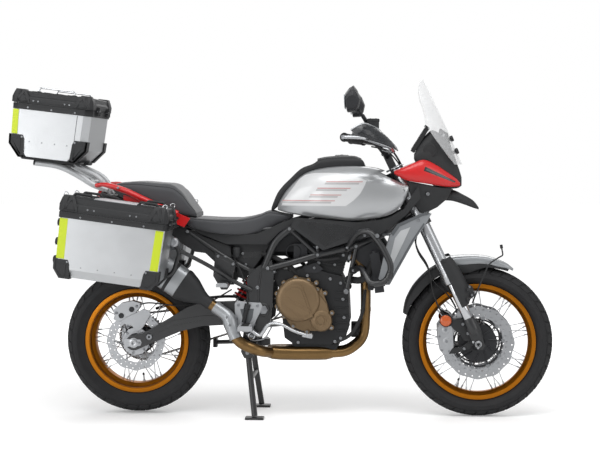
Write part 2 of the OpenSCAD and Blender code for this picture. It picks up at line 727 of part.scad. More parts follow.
module beak() color("#2b2c2f") bike() {
    skin([for (s = [[1340, 948, 972, 70, 40], [1388, 946, 994, 66, 36], [1440, 930, 972, 56, 32],
            [1480, 915, 948, 40, 22], [1504, 908, 918, 20, 12]])
        half_ring(s[0], bulge(s[1], s[2], s[3], s[3] - 4, s[4], 0.3, 3))]);
    for (s = [-1, 1]) translate([1382, s * 20, 970]) cylinder(r = 9, h = 998 - seat_gap - 970);
}

screen_t = 4;
screen_rows = [
    // height, middle x, edge x, half width
    [1104, 1432, 1400, 84], [1180, 1400, 1340, 128], [1262, 1364, 1284, 150],
    [1334, 1330, 1268, 150], [1400, 1300, 1246, 132], [1450, 1276, 1244, 92], [1474, 1264, 1254, 40]
];
screen_steps = 8;
function screen_x(row, u, t) = row[1] - t - (row[1] - row[2]) * u * u;
function screen_point(layer, r, k) = (layer * len(screen_rows) + r) * (screen_steps + 1) + k;
function quad(a, b, c, d) = [[a, b, c], [a, c, d]];
module windscreen() color("#dfe6ea", 0.4) bike() {
    points = [for (t = [0, screen_t]) for (row = screen_rows) for (k = [0:screen_steps])
        let (u = 2 * k / screen_steps - 1) [screen_x(row, u, t), row[3] * u, row[0]]];
    top = len(screen_rows) - 1;
    faces = [
        for (r = [0:top - 1]) for (k = [0:screen_steps - 1])
            each quad(screen_point(0, r, k), screen_point(0, r + 1, k),
                screen_point(0, r + 1, k + 1), screen_point(0, r, k + 1)),
        for (r = [0:top - 1]) for (k = [0:screen_steps - 1])
            each quad(screen_point(1, r, k), screen_point(1, r, k + 1),
                screen_point(1, r + 1, k + 1), screen_point(1, r + 1, k)),
        for (k = [0:screen_steps - 1]) each quad(screen_point(0, 0, k), screen_point(0, 0, k + 1),
            screen_point(1, 0, k + 1), screen_point(1, 0, k)),
        for (k = [0:screen_steps - 1]) each quad(screen_point(0, top, k + 1), screen_point(0, top, k),
            screen_point(1, top, k), screen_point(1, top, k + 1)),
        for (r = [0:top - 1]) each quad(screen_point(0, r + 1, 0), screen_point(0, r, 0),
            screen_point(1, r, 0), screen_point(1, r + 1, 0)),
        for (r = [0:top - 1]) each quad(screen_point(0, r, screen_steps),
            screen_point(0, r + 1, screen_steps), screen_point(1, r + 1, screen_steps),
            screen_point(1, r, screen_steps))
    ];
    difference() {
        polyhedron(points, faces);
        screen_posts(screen_post_r + seat_gap);
    }
}

module instrument_panel() color("#151617") bike()
    translate(dash_place) rotate([0, dash_tilt, 0])
        translate([-dash_t / 2, -92, -62]) cube([dash_t, 184, 124]);

// ---------- Crash bars, tail and racks ----------

crash_bar_d = 26;
crash_bar_path = rounded([[930, 127, 741], [976, 200, 812], [1030, 236, 826], [1086, 252, 760],
    [1130, 254, 668], [1098, 248, 602], [1034, 236, 598], [1012, 210, 640], [994, 180, 664],
    [957, 136, 645]], 40, 4);
module crash_bars() color("#2f3033") bike() both_sides() difference() {
    bar(crash_bar_path, crash_bar_d);
    bar(lower_rail, frame_tube_d + 2 * seat_gap);
    bar(engine_hanger, 20 + 2 * seat_gap, 8);
}

module tail_panels() color("#d81f1a") bike() both_sides() {
    difference() {
        bar([[150, 146, 900], [150, 97, 862]], 14, 8);
        bar(seat_rail, seat_rail_d + 2 * seat_gap);
    }
    bar(rounded([[200, 152, 892], [64, 152, 946], [-40, 152, 996], [-130, 130, 1018],
        [-166, 117, 1012]], 60, 5), 30);
    panel([[226, 832], [252, 870], [178, 902], [60, 944], [-40, 972], [-40, 950], [80, 900],
        [180, 850]], 138, 148);
}

module rear_fender() color("#1d1e20") bike() {
    skin([for (s = [[-296, 700, 712, 46], [-250, 744, 760, 50], [-190, 820, 838, 56],
            [-110, 900, 918.5, 64], [-30, 930, 946.5, 70]])
        half_ring(s[0], bulge(s[1], s[2], s[3], s[3] - 6, s[3] - 6, 0.5, 2))]);
    translate([-318, -90, 640]) rotate([0, 18, 0]) cube([3, 180, 120]);
}

module tail_light() color("#b01616") bike()
    translate([-149 - seat_gap - 24, -62, 950]) cube([24, 124, 40]);

module rear_rack() color("#d4d6d8") bike() {
    both_sides() {
        bar(rounded([[-447, 90, 1112], [-330, 90, 1098], [-240, 90, 1052], [-180, 88, 1011],
            [-118, 87, 991.5]], 50, 5), 26);
        bar(rounded([[-270, 60, 1098], [-160, 60, 1048], [-116.8, 50, 970.8]], 40), 20);
    }
    for (p = [[-440, 1112], [-330, 1098], [-200, 1026]]) rod_y(p[0], p[1], 9, -90, 90);
    translate([-rear_axle_x, 0, 0]) top_case_place()
        translate([-130, top_case_w / 2 - 130, -top_case_d - 14 - seat_gap]) cube([260, 260, 14]);
}

rack_y = pannier_in - band_t - 9 - seat_gap;
module pannier_racks() color("#2f3033") bike() both_sides() {
    bar(rounded([[-200, rack_y, 860], [-215, rack_y, 690], [-180, rack_y, 660], [150, rack_y, 618],
        [190, rack_y, 640], [220, rack_y, 735], [150, rack_y, 800], [-120, rack_y, 842],
        [-200, rack_y, 850]], 40), 18, 8);
    bar(rounded([[220, rack_y, 735], [343, 190, 667], [438, 150, 600], [520, 149.4, 560]], 40), 18, 8);
    bar([[-120, rack_y, 842], [-120, 107, 958]], 16, 8);
}

// ---------- Foot controls ----------

hanger_y = plate_y + plate_t + seat_gap;
tie_hole = [405, 668];
tie_hole_r = 9;
module footpegs() color("#8d9094") bike() {
    both_sides() {
        panel([[446, 500], [478, 510], [560, 505], [556, 470], [520, 388], [470, 386], [446, 430]],
            hanger_y, hanger_y + 10);
        rod_y(505, 404, 11, hanger_y + 8, 172);
        translate([470, 170, 392]) cube([62, 84, 22]);
        difference() {
            panel([[360, 722], [450, 676], [430, 590], [412, 560], [385, 560], [350, 620]],
                123.2, 133);
            rod_y(tie_hole[0], tie_hole[1], tie_hole_r, 100, 150);
        }
        rod_y(400, 586, 9, 130, 150);
        translate([370, 148, 576]) cube([54, 66, 20]);
    }
}

module foot_levers() color("#9a9da1") bike() {
    bar(rounded([[522, -160, 364], [600, -188, 428], [650, -206, 420], [712, -208, 388],
        [764, -208, 372]], 20, 3), 14, 8);
    translate([748, -226, 364]) cube([34, 36, 12]);
    bar(rounded([[522, 160, 364], [640, 196, 372], [752, 206, 386]], 20, 3), 12, 8);
    rod_y(752, 386, 9, 196, 228);
    for (s = [-1, 1]) rod_y(522, 364, 9, s > 0 ? hanger_y : -168, s > 0 ? 168 : -hanger_y);
}

// ---------- Luggage ----------

// Outline of a case's wall below its lid, seen along Y: bottom corners cut off
module case_outline(l, d, cut) polygon([
    [-l / 2, 0], [-l / 2 + 6, -d + cut], [-l / 2 + cut, -d], [l / 2 - cut, -d],
    [l / 2 - 6, -d + cut], [l / 2, 0]
]);

// A case body: X along its length, top at Z 0, from y 0 to y w
module case_body(l, w, d, cut) difference() {
    union() {
        side_plate(0, w) case_outline(l, d, cut);
        translate([-l / 2 - band_t, -band_t, -26]) cube([l + 2 * band_t, w + 2 * band_t, 26]);
        for (sx = [-1, 1]) for (y = [-band_t, w - 40]) translate([0, y, 0])
            side_plate(0, 44) intersection() {
                offset(delta = corner_guard_t) case_outline(l, d, cut);
                translate([sx > 0 ? l / 2 - 70 : -l / 2 - 20, -d - 20]) square([90, 90]);
            }
    }
    translate([0, case_wall, 0]) side_plate(0, w - 2 * case_wall)
        offset(delta = -case_wall) case_outline(l, d, cut);
    translate([-l / 2 + case_wall, case_wall, -30]) cube([l - 2 * case_wall, w - 2 * case_wall, 60]);
}

// A lid over a case: hinge on the front edge
module case_lid(l, w, h) difference() {
    translate([-l / 2 - band_t, -band_t, lid_gap]) union() {
        cube([l + 2 * band_t, w + 2 * band_t, h * 0.5]);
        translate([10, 10, 0]) cube([l - 12, w - 12, h]);
    }
    translate([-l / 2 + case_wall, case_wall, -1]) cube([l - 2 * case_wall, w - 2 * case_wall,
        h * 0.5]);
}

module pannier_place() bike() translate([pannier_seam[0], pannier_in, pannier_seam[1]])
    rotate([0, pannier_tilt, 0]) children();
module top_case_place() bike() translate([top_case_x, -top_case_w / 2, top_case_z])
    rotate([0, top_case_tilt, 0]) children();

hinge_x = band_t + hinge_r + 1;
// Fixed half of a hinge on the front edge, for a case of length l and width w
module hinge_base(l, w) for (y = [w * 0.2, w * 0.8 - 40]) {
    translate([l / 2 + hinge_x, y + 44, 0]) rotate([90, 0, 0]) cylinder(r = hinge_pin_r, h = 48);
    for (k = [-4, 32]) translate([l / 2, y + k, 0]) difference() {
        union() {
            translate([hinge_x, 12, 0]) rotate([90, 0, 0]) cylinder(r = hinge_r, h = 12);
            translate([2, 0, -18]) cube([hinge_x + 2, 12, 16]);
        }
    }
}
// Moving half of the hinge
module hinge_lid(l, w) for (y = [w * 0.2, w * 0.8 - 40]) translate([l / 2, y + 9, 0]) difference() {
    union() {
        translate([hinge_x, 22, 0]) rotate([90, 0, 0]) cylinder(r = hinge_r, h = 22);
        translate([2, 0, 6]) cube([hinge_x + 2, 22, 14]);
    }
    translate([hinge_x, 30, 0]) rotate([90, 0, 0]) cylinder(r = hinge_pin_r + bearing_gap, h = 40);
}

module pannier() pannier_place() {
    case_body(pannier_l, pannier_w, pannier_d, pannier_cut);
    hinge_base(pannier_l, pannier_w);
}
module pannier_lid() pannier_place() {
    case_lid(pannier_l, pannier_w, pannier_lid_h);
    hinge_lid(pannier_l, pannier_w);
}
module panniers() color("#c3c5c8") both_sides() pannier();
module pannier_lid_left() color("#232427") pannier_lid();
module pannier_lid_right() color("#232427") mirror([0, 1, 0]) pannier_lid();

module top_case() color("#c3c5c8") top_case_place() {
    case_body(top_case_l, top_case_w, top_case_d, top_cut);
    hinge_base(top_case_l, top_case_w);
}
module top_case_lid() color("#232427") top_case_place() {
    case_lid(top_case_l, top_case_w, top_lid_h);
    hinge_lid(top_case_l, top_case_w);
}

// ---------- Stands ----------

module centre_stand() {
    foot_x = stand_pivot_x + stand_lead;
    foot_y = stand_width / 2 - 26;
    color("#1f2022") bike() difference() {
        union() {
            rod_y(stand_pivot_x, stand_pivot_z, 15, -plate_y + 2, plate_y - 2);
            both_sides() {
                bar(rounded([[stand_pivot_x, 108, stand_pivot_z], [stand_pivot_x + 12, 122, 180],
                    [foot_x, foot_y, 14]], 60), 26, 12);
                translate([foot_x - 40, foot_y - 24, 0]) cube([80, 50, 10]);
            }
            bar([[stand_pivot_x + 13, -124, 170], [stand_pivot_x + 13, 124, 170]], 22, 10);
        }
        rod_y(stand_pivot_x, stand_pivot_z, stand_pin_r + bearing_gap, -200, 200);
        translate([0, -300, -40]) cube([1000, 600, 40]);
    }
}

side_stand_pivot = [556, 176, 300];
// Direction of the side stand's hinge, outwards: it tilts so that the leg swings out
side_stand_dir = [-0.12, 0.98, 0.14];
side_stand_hub = 18;
module side_stand_axis() translate(side_stand_pivot)
    rotate([0, acos(side_stand_dir[2] / norm(side_stand_dir)),
        atan2(side_stand_dir[1], side_stand_dir[0])]) children();
module side_stand() color("#1f2022") bike() difference() {
    union() {
        side_stand_axis() cylinder(r = side_stand_hub, h = 20, center = true);
        bar([side_stand_pivot + [-8, 0, 0], side_stand_pivot + [40 - side_stand_len, 6, -8]], 20, 10);
        translate(side_stand_pivot + [24 - side_stand_len, -18, -30]) cube([18, 52, 44]);
    }
    side_stand_axis() cylinder(r = side_stand_pin_r + bearing_gap, h = 100, center = true);
}

// ---------- Front end ----------

module fork_legs() color("#c8cacd") fork() both_sides() translate([0, fork_spacing / 2, 0])
    difference() {
        union() {
            translate([fork_x, 0, outer_tube_low]) cylinder(r = outer_tube_r, h = fork_top - outer_tube_low);
            translate([fork_x, 0, 90]) cylinder(r = inner_tube_r, h = outer_tube_low - 88);
            translate([fork_x, 0, 40]) cylinder(r = 25, h = 74);
            translate([-16, -17, -26]) cube([40, 34, 90]);
        }
        rotate([90, 0, 0]) cylinder(r = axle_r + seat_gap, h = 100, center = true);
    }

module clamp(z, t) difference() {
    union() {
        translate([-20, -fork_spacing / 2, z]) cube([44, fork_spacing, t]);
        for (s = [-1, 1]) translate([fork_x, s * fork_spacing / 2, z]) cylinder(r = outer_tube_r + 10, h = t);
        translate([steer_x, 0, z]) cylinder(r = 34, h = t);
    }
    for (s = [-1, 1]) translate([fork_x, s * fork_spacing / 2, z - 1])
        cylinder(r = outer_tube_r + seat_gap, h = t + 2);
}
module fork_clamps() color("#26272a") fork() {
    clamp(lower_clamp_z, clamp_t);
    clamp(upper_clamp_z, 24);
    translate([steer_x, 0, lower_clamp_z + 4]) cylinder(r = stem_r, h = upper_clamp_z - lower_clamp_z + 10);
}

bar_path = [[-7, 0, 902], [-7, 70, 902], [-24, 170, 973], [-73, 290, 1008], [-132, bar_half, 1047]];
bar_d = 26;
bar_clamp_r = 14.3;
switch_block = [[-36, 226, 1000], [-20, 330, 1026]];
switch_d = 34;
module handlebar() color("#26272a") fork() {
    rod_y(bar_path[0][0], bar_path[0][2], bar_clamp_r, -66, 66);
    both_sides() {
        bar(rounded(bar_path, 40), bar_d);
        bar([lerp(bar_path[3], bar_path[4], 0.1), bar_path[4]], 2 * grip_r, 12);
        translate([-24, 30, upper_clamp_z + 24]) cube([34, 30, riser_top - upper_clamp_z - 24]);
        bar(switch_block, switch_d, 8);
        bar([[-10, 250, 1008], [4, 340, 1024], [-40, 430, 1044]], 12, 6);
    }
}

module handguards() color("#bfc1c4") fork() both_sides() difference() {
    guard_bars();
    bar(rounded(bar_path, 40), bar_d + 2 * seat_gap);
    bar([lerp(bar_path[3], bar_path[4], 0.1), bar_path[4]], 2 * (grip_r + seat_gap), 12);
    bar(switch_block, switch_d + 2 * seat_gap, 8);
}
module guard_bars() {
    bar(rounded([bar_path[4] + [0, 9, 0], [-104, bar_half + 9, 1034], [-60, bar_half - 10, 1010],
        [20, 300, 930], [26, 230, 906], [-10, 150, 936]], 26), 16, 8);
    skin([for (k = [[[-104, bar_half + 6, 1052], [-90, bar_half + 4, 1076]],
            [[-40, bar_half - 20, 1012], [-36, bar_half - 12, 1092]],
            [[30, 330, 944], [10, 340, 1046]], [[46, 236, 918], [20, 246, 990]]])
        [k[0], k[0] + [5, 5, 0], k[1] + [5, 5, 0], k[1]]]);
}

module mirrors() color("#232427") fork() both_sides() {
    difference() {
        bar(rounded([[-30, 300, 1014], [-16, 312, 1050], [-30, 340, 1110], [-70, 372, 1150]], 24),
            12, 8);
        bar(switch_block, switch_d + 2 * seat_gap, 8);
    }
    skin([for (k = [[-8, 42, 34], [0, 58, 46], [14, 54, 42], [34, 20, 16]])
        [for (a = [0:30:330]) [-100 + k[0] + 24, 376, 1190]
            + [0, k[1] * 1.7 * cos(a) * 0.8, k[2] * sin(a) * 1.1] + [k[0], 0, 0]]]);
}

fender_in = front_tyre_r + 18;
module front_fender() color("#a9acb0") {
    front_wheel() rotate(60) rotate_extrude(angle = 98, $fn = 96) polygon([
        [fender_in, -66], [fender_in + 22, -50], [fender_in + 30, 0], [fender_in + 22, 50],
        [fender_in, 66], [fender_in - 3, 63], [fender_in + 18, 47], [fender_in + 25, 0],
        [fender_in + 18, -47], [fender_in - 3, -63]
    ]);
    fork() both_sides() translate([fork_x, fork_spacing / 2, 0]) {
        translate([0, 0, 176]) rotate(-60) rotate_extrude(angle = 190)
            translate([outer_tube_r + 3, 0]) square([4, 236]);
        difference() {
            translate([0, 0, 110]) cylinder(r = outer_tube_r + 4, h = 67);
            translate([0, 0, 100]) cylinder(r = inner_tube_r + seat_gap, h = 90);
            translate([0, 0, 105]) cylinder(r = 25 + seat_gap, h = 10);
        }
    }
    fork() both_sides() translate([23, 44, fender_in + 4]) cube([14, 33, 18]);
}

module front_calipers() color("#8d9094") bike() translate([wheelbase, 0, front_tyre_r]) both_sides()
    difference() {
        union() {
            side_plate(44, 50) polygon([[-176, 70], [-140, 106], [-112, 86], [-104, -10], [-140, -52],
                [-166, -20]]);
            side_plate(86, 14) polygon([[-120, 70], [-60, 84], [-34, 70], [-50, 20], [-110, 6]]);
        }
        translate([0, front_disc_y + disc_t / 2 + 2, 0]) rotate([90, 0, 0])
            cylinder(r = front_disc_r + 3, h = disc_t + 4);
        rotate([0, -rake, 0]) translate([fork_x, fork_spacing / 2, 0]) {
            translate([0, 0, 30]) cylinder(r = 25 + seat_gap, h = 86);
            translate([0, 0, 30]) cylinder(r = inner_tube_r + seat_gap, h = 300);
            translate([-24 - seat_gap, -17 - seat_gap, -30]) cube([50, 34.6, 96]);
        }
    }

axle_bore_r = 6;
module front_axle() color("#c9ccd0") front_wheel() difference() {
    union() {
        cylinder(r = axle_r, h = 276, center = true);
        for (s = [-1, 1]) translate([0, 0, s * (fork_spacing / 2 + 17 + seat_gap + 7)])
            cylinder(r = 15, h = 14, center = true);
        for (s = [-1, 1]) translate([0, 0, s * (front_disc_y + disc_t / 2 + 6)])
            cylinder(r = 16, h = 10, center = true);
    }
    cylinder(r = axle_bore_r, h = 400, center = true);
}

main_frame();
subframe();
swingarm();
rear_axle();
drive_chain();
rear_shock();
engine_block();
engine_covers();
cylinder_head();
radiator();
exhaust_pipe();
silencer();
fuel_tank();
tank_cover();
rider_seat();
passenger_seat();
side_panels();
side_shrouds();
nose_panels();
front_cowl();
beak();
windscreen();
instrument_panel();
crash_bars();
tail_panels();
rear_fender();
tail_light();
rear_rack();
pannier_racks();
footpegs();
foot_levers();
panniers();
top_case();
top_case_lid();
pannier_lid_left();
pannier_lid_right();
centre_stand();
side_stand();
fork_legs();
fork_clamps();
handlebar();
handguards();
mirrors();
front_fender();
front_calipers();
front_axle();
front_tyre();
front_rim();
front_hub();
front_discs();
rear_tyre();
rear_rim();
rear_hub();
rear_disc();
rear_sprocket();
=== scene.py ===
# Adventure motorcycle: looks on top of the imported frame. Lengths below are in millimetres,
# measured from the rear axle's plane on the ground (x ahead, y left, z up).
import json
from math import acos, asin, atan2, ceil, copysign, cos, exp, hypot, pi, radians, sin, sqrt

import bmesh
import bpy
from mathutils import Matrix, Vector


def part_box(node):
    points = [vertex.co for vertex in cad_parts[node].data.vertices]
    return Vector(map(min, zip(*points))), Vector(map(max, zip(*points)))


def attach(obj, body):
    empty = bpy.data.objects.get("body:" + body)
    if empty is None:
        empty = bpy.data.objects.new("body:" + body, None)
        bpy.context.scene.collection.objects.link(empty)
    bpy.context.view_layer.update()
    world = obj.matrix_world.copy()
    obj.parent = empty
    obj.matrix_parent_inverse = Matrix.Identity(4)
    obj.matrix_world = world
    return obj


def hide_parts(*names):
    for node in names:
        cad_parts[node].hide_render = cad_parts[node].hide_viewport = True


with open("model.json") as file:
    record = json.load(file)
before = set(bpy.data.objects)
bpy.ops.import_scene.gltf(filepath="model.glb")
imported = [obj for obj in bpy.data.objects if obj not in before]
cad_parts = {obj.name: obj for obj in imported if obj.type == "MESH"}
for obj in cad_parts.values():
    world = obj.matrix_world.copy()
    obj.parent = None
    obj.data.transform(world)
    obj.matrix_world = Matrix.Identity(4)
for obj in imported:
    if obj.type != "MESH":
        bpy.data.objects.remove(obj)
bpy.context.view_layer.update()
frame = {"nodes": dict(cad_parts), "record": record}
nodes = frame["nodes"]
lo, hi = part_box("rear_axle")
AXLE_X = (lo.x + hi.x) / 2 * 1000
WHEELBASE, RAKE = 1500.0, radians(25.5)
FRONT_R, REAR_R, REAR_Z = 329.0, 321.0, 325.0
STEER_X = -26.0             # steering axis, ahead of the front axle, square to the fork
FORK_X, FORK_Y = 8, 102     # a fork leg's axis in the fork's frame
FRONT_DISC_Y, REAR_DISC_Y = 68.0, 82.0
X, Y, Z = (1, 0, 0), (0, 1, 0), (0, 0, 1)
STEEP = 0.9                 # a direction with a larger share of z counts as upright
# Top and radius of what turns, in the fork's frame
FORK_SWEEP, RISER_SWEEP = (850, 152), (936, 84)
BOLT_SIDES = 18
CHAIN_PITCH = 15.875


def bike(p):
    return Vector(((p[0] + AXLE_X) / 1000, p[1] / 1000, p[2] / 1000))


def fork(p):
    c, s = cos(RAKE), sin(RAKE)
    return bike((WHEELBASE + p[0] * c - p[2] * s, p[1], FRONT_R + p[0] * s + p[2] * c))


def tilted(origin, degrees):
    """A frame at this point, turned about +Y."""
    a = radians(degrees)
    c, s = cos(a), sin(a)

    def place(p):
        return bike((origin[0] + p[0] * c + p[2] * s, origin[1] + p[1],
                     origin[2] - p[0] * s + p[2] * c))
    return place


def turns(n):
    """Angles of n equal steps round a circle."""
    return [2 * pi * i / n for i in range(n)]


def across(d):
    """A direction square to d."""
    steep = abs(d.z) >= STEEP
    return d.cross(Vector(X if steep else Z)).normalized()


def rounded(path, r, n=5):
    """The path with each corner rounded by a curve."""
    pts = [Vector(p) for p in path]
    out = [pts[0]]
    for i in range(1, len(pts) - 1):
        a, b, c = pts[i - 1], pts[i], pts[i + 1]
        k = min(r, (a - b).length * 0.48, (c - b).length * 0.48)
        p, q = b + (a - b).normalized() * k, b + (c - b).normalized() * k
        for j in range(n + 1):
            t = j / n
            out.append(p.lerp(b, t).lerp(b.lerp(q, t), t))
    out.append(pts[-1])
    return out


class Part:
    """Collects solids into one mesh. Points go through self.at to the row frame."""

    def __init__(self, at=bike):
        self.v, self.f, self.m, self.at = [], [], [], at

    def add(self, verts, faces, m=0):
        k = len(self.v)
        self.v += [self.at(p) for p in verts]
        self.f += [tuple(i + k for i in f) for f in faces]
        self.m += [m] * len(faces)

    def rings(self, rings, m=0, closed=False):
        """A skin over rings of equally many points, with flat ends unless closed."""
        n = len(rings[0])
        verts = [p for ring in rings for p in ring]
        faces, count = [], len(rings)
        for i in range(count if closed else count - 1):
            a, b = i * n, (i + 1) % count * n
            for j in range(n):
                k = (j + 1) % n
                faces.append((a + j, a + k, b + k, b + j))
        if not closed:
            faces += [tuple(range(n))[::-1], tuple(range((count - 1) * n, count * n))]
        self.add(verts, faces, m)

    def tube(self, pts, r, m=0, n=14, closed=False, flat=1.0):
        pts = [Vector(p) for p in pts]
        count = len(pts)
        r = list(r) if isinstance(r, (list, tuple)) else [r, r]
        if len(r) != count:
            at = [i * (len(r) - 1) / (count - 1) for i in range(count)]
            r = [r[int(k)] + (r[min(int(k) + 1, len(r) - 1)] - r[int(k)]) * (k - int(k))
                 for k in at]
        rings, side = [], None
        for i, p in enumerate(pts):
            a = pts[(i - 1) % count] if closed or i else p
            b = pts[(i + 1) % count] if closed or i < count - 1 else p
            d = (b - a).normalized()
            if side is None:
                side = across(d)
            side = (side - d * side.dot(d)).normalized()
            up = d.cross(side)
            rings.append([p + (side * cos(t) + up * sin(t) * flat) * r[i]
                          for t in turns(n)])
        self.rings(rings, m, closed)

    def cyl(self, a, b, r, m=0, n=28):
        self.tube([a, b], r, m, n)

    def lathe(self, profile, origin, axis, m=0, n=64, closed=False):
        """profile is (radius, distance along the axis)."""
        axis = Vector(axis).normalized()
        u = across(axis)
        w = axis.cross(u)
        o = Vector(origin)
        rings = [[o + axis * h + (u * cos(t) + w * sin(t)) * r
                  for r, h in profile] for t in turns(n)]
        k = len(profile)
        verts = [p for ring in rings for p in ring]
        faces = []
        for i in range(n):
            a, b = i * k, (i + 1) % n * k
            for j in range(k if closed else k - 1):
                q = (j + 1) % k
                faces.append((a + j, b + j, b + q, a + q))
        self.add(verts, faces, m)

    def washer(self, r0, r1, h0, h1, origin, axis, m=0, n=64):
        self.lathe([(r0, h0), (r1, h0), (r1, h1), (r0, h1)], origin, axis, m, n, closed=True)

    def plate(self, outline, y0, y1, m=0):
        """A flat piece with this outline in side view."""
        n = len(outline)
        verts = [(x, y, z) for y in (y0, y1) for x, z in outline]
        faces = [(i, (i + 1) % n, (i + 1) % n + n, i + n) for i in range(n)]
        self.add(verts, faces + [tuple(range(n))[::-1], tuple(range(n, 2 * n))], m)

    def box(self, lo, hi, m=0):
        (a, b, c), (d, e, f) = lo, hi
        self.plate([(a, c), (d, c), (d, f), (a, f)], b, e, m)

    def bolt(self, p, axis, r=5.0, m=0, h=4.0):
        """A cap screw with a round socket."""
        d = Vector(axis).normalized()
        p = Vector(p)
        u = across(d)
        w = d.cross(u)

        shape = [(-1, r), (h * 0.75, r), (h, r * 0.84), (h, r * 0.5), (h * 0.45, r * 0.5)]
        self.rings([[p + d * q + (u * cos(a) + w * sin(a)) * k for a in turns(BOLT_SIDES)]
                    for q, k in shape], m)

    def bolts(self, spots, y, r, m=0, h=4.0):
        """Cap screws at these (x, z), facing out from the bike's middle."""
        for x, z in spots:
            self.bolt((x, y, z), (0, copysign(1, y), 0), r, m, h)

    def mirror(self):
        """Adds the same on the other side."""
        k, q = len(self.v), len(self.f)
        self.v += [Vector((p.x, -p.y, p.z)) for p in self.v]
        self.f += [tuple(i + k for i in reversed(f)) for f in self.f[:q]]
        self.m += self.m[:q]
        return self

    def make(self, name, looks, body="chassis", of=(), slot=None, bevel=0.0, steps=2, smooth=38.0,
             weld=True):
        me = bpy.data.meshes.new(name)
        me.from_pydata([tuple(p) for p in self.v], [], self.f)
        me.polygons.foreach_set("material_index", self.m)
        for key in looks.split():
            me.materials.append(M[key])
        bm = bmesh.new()
        bm.from_mesh(me)
        if weld:
            bmesh.ops.remove_doubles(bm, verts=bm.verts, dist=2e-5)
        bmesh.ops.recalc_face_normals(bm, faces=bm.faces)
        bm.to_mesh(me)
        bm.free()
        ob = bpy.data.objects.new(name, me)
        bpy.context.scene.collection.objects.link(ob)
        if bevel:
            b = ob.modifiers.new("edges", "BEVEL")
            b.width, b.segments, b.limit_method = bevel, steps, "ANGLE"
            b.angle_limit, b.harden_normals = radians(smooth), True
        shade(ob, smooth)
        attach(ob, body)
        if of:
            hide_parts(*([of] if isinstance(of, str) else of))
        return ob


def shade(ob, degrees=38.0):
    me = ob.data
    me.polygons.foreach_set("use_smooth", [True] * len(me.polygons))
    me.set_sharp_from_angle(angle=radians(degrees))


def steering_room(ob, *rooms):
    """Cuts the fork's and bar's room out of a solid piece: (top, radius) each."""
    cutters = []
    for top, r in rooms:
        a, b = fork((STEER_X, 0, 500)), fork((STEER_X, 0, top))
        bm = bmesh.new()
        bmesh.ops.create_cone(bm, cap_ends=True, segments=72, radius1=r / 1000, radius2=r / 1000,
                              depth=(b - a).length,
                              matrix=Matrix.Translation((a + b) / 2) @ Matrix.Rotation(-RAKE, 4, "Y"))
        me = bpy.data.meshes.new("room")
        bm.to_mesh(me)
        bm.free()
        cutter = bpy.data.objects.new("room", me)
        bpy.context.scene.collection.objects.link(cutter)
        mod = ob.modifiers.new("room", "BOOLEAN")
        mod.operation, mod.solver, mod.object = "DIFFERENCE", "EXACT", cutter
        cutters.append(cutter)
    cut = bpy.data.meshes.new_from_object(ob.evaluated_get(bpy.context.evaluated_depsgraph_get()))
    ob.modifiers.clear()
    ob.data = cut
    for cutter in cutters:
        bpy.data.objects.remove(cutter)


# ---------- Materials ----------

COAT_ROUGH = 0.06
FINE_SHARE, FINE_SHARE_MEAN = 0.35, 0.17     # of the fine grain in colour, and what centres it
BUMP_DEPTH = 0.0004                          # metres


def rgb(text):
    c = [int(text[i:i + 2], 16) / 255 for i in (0, 2, 4)]
    return [v / 12.92 if v <= 0.04045 else ((v + 0.055) / 1.055) ** 2.4 for v in c] + [1.0]


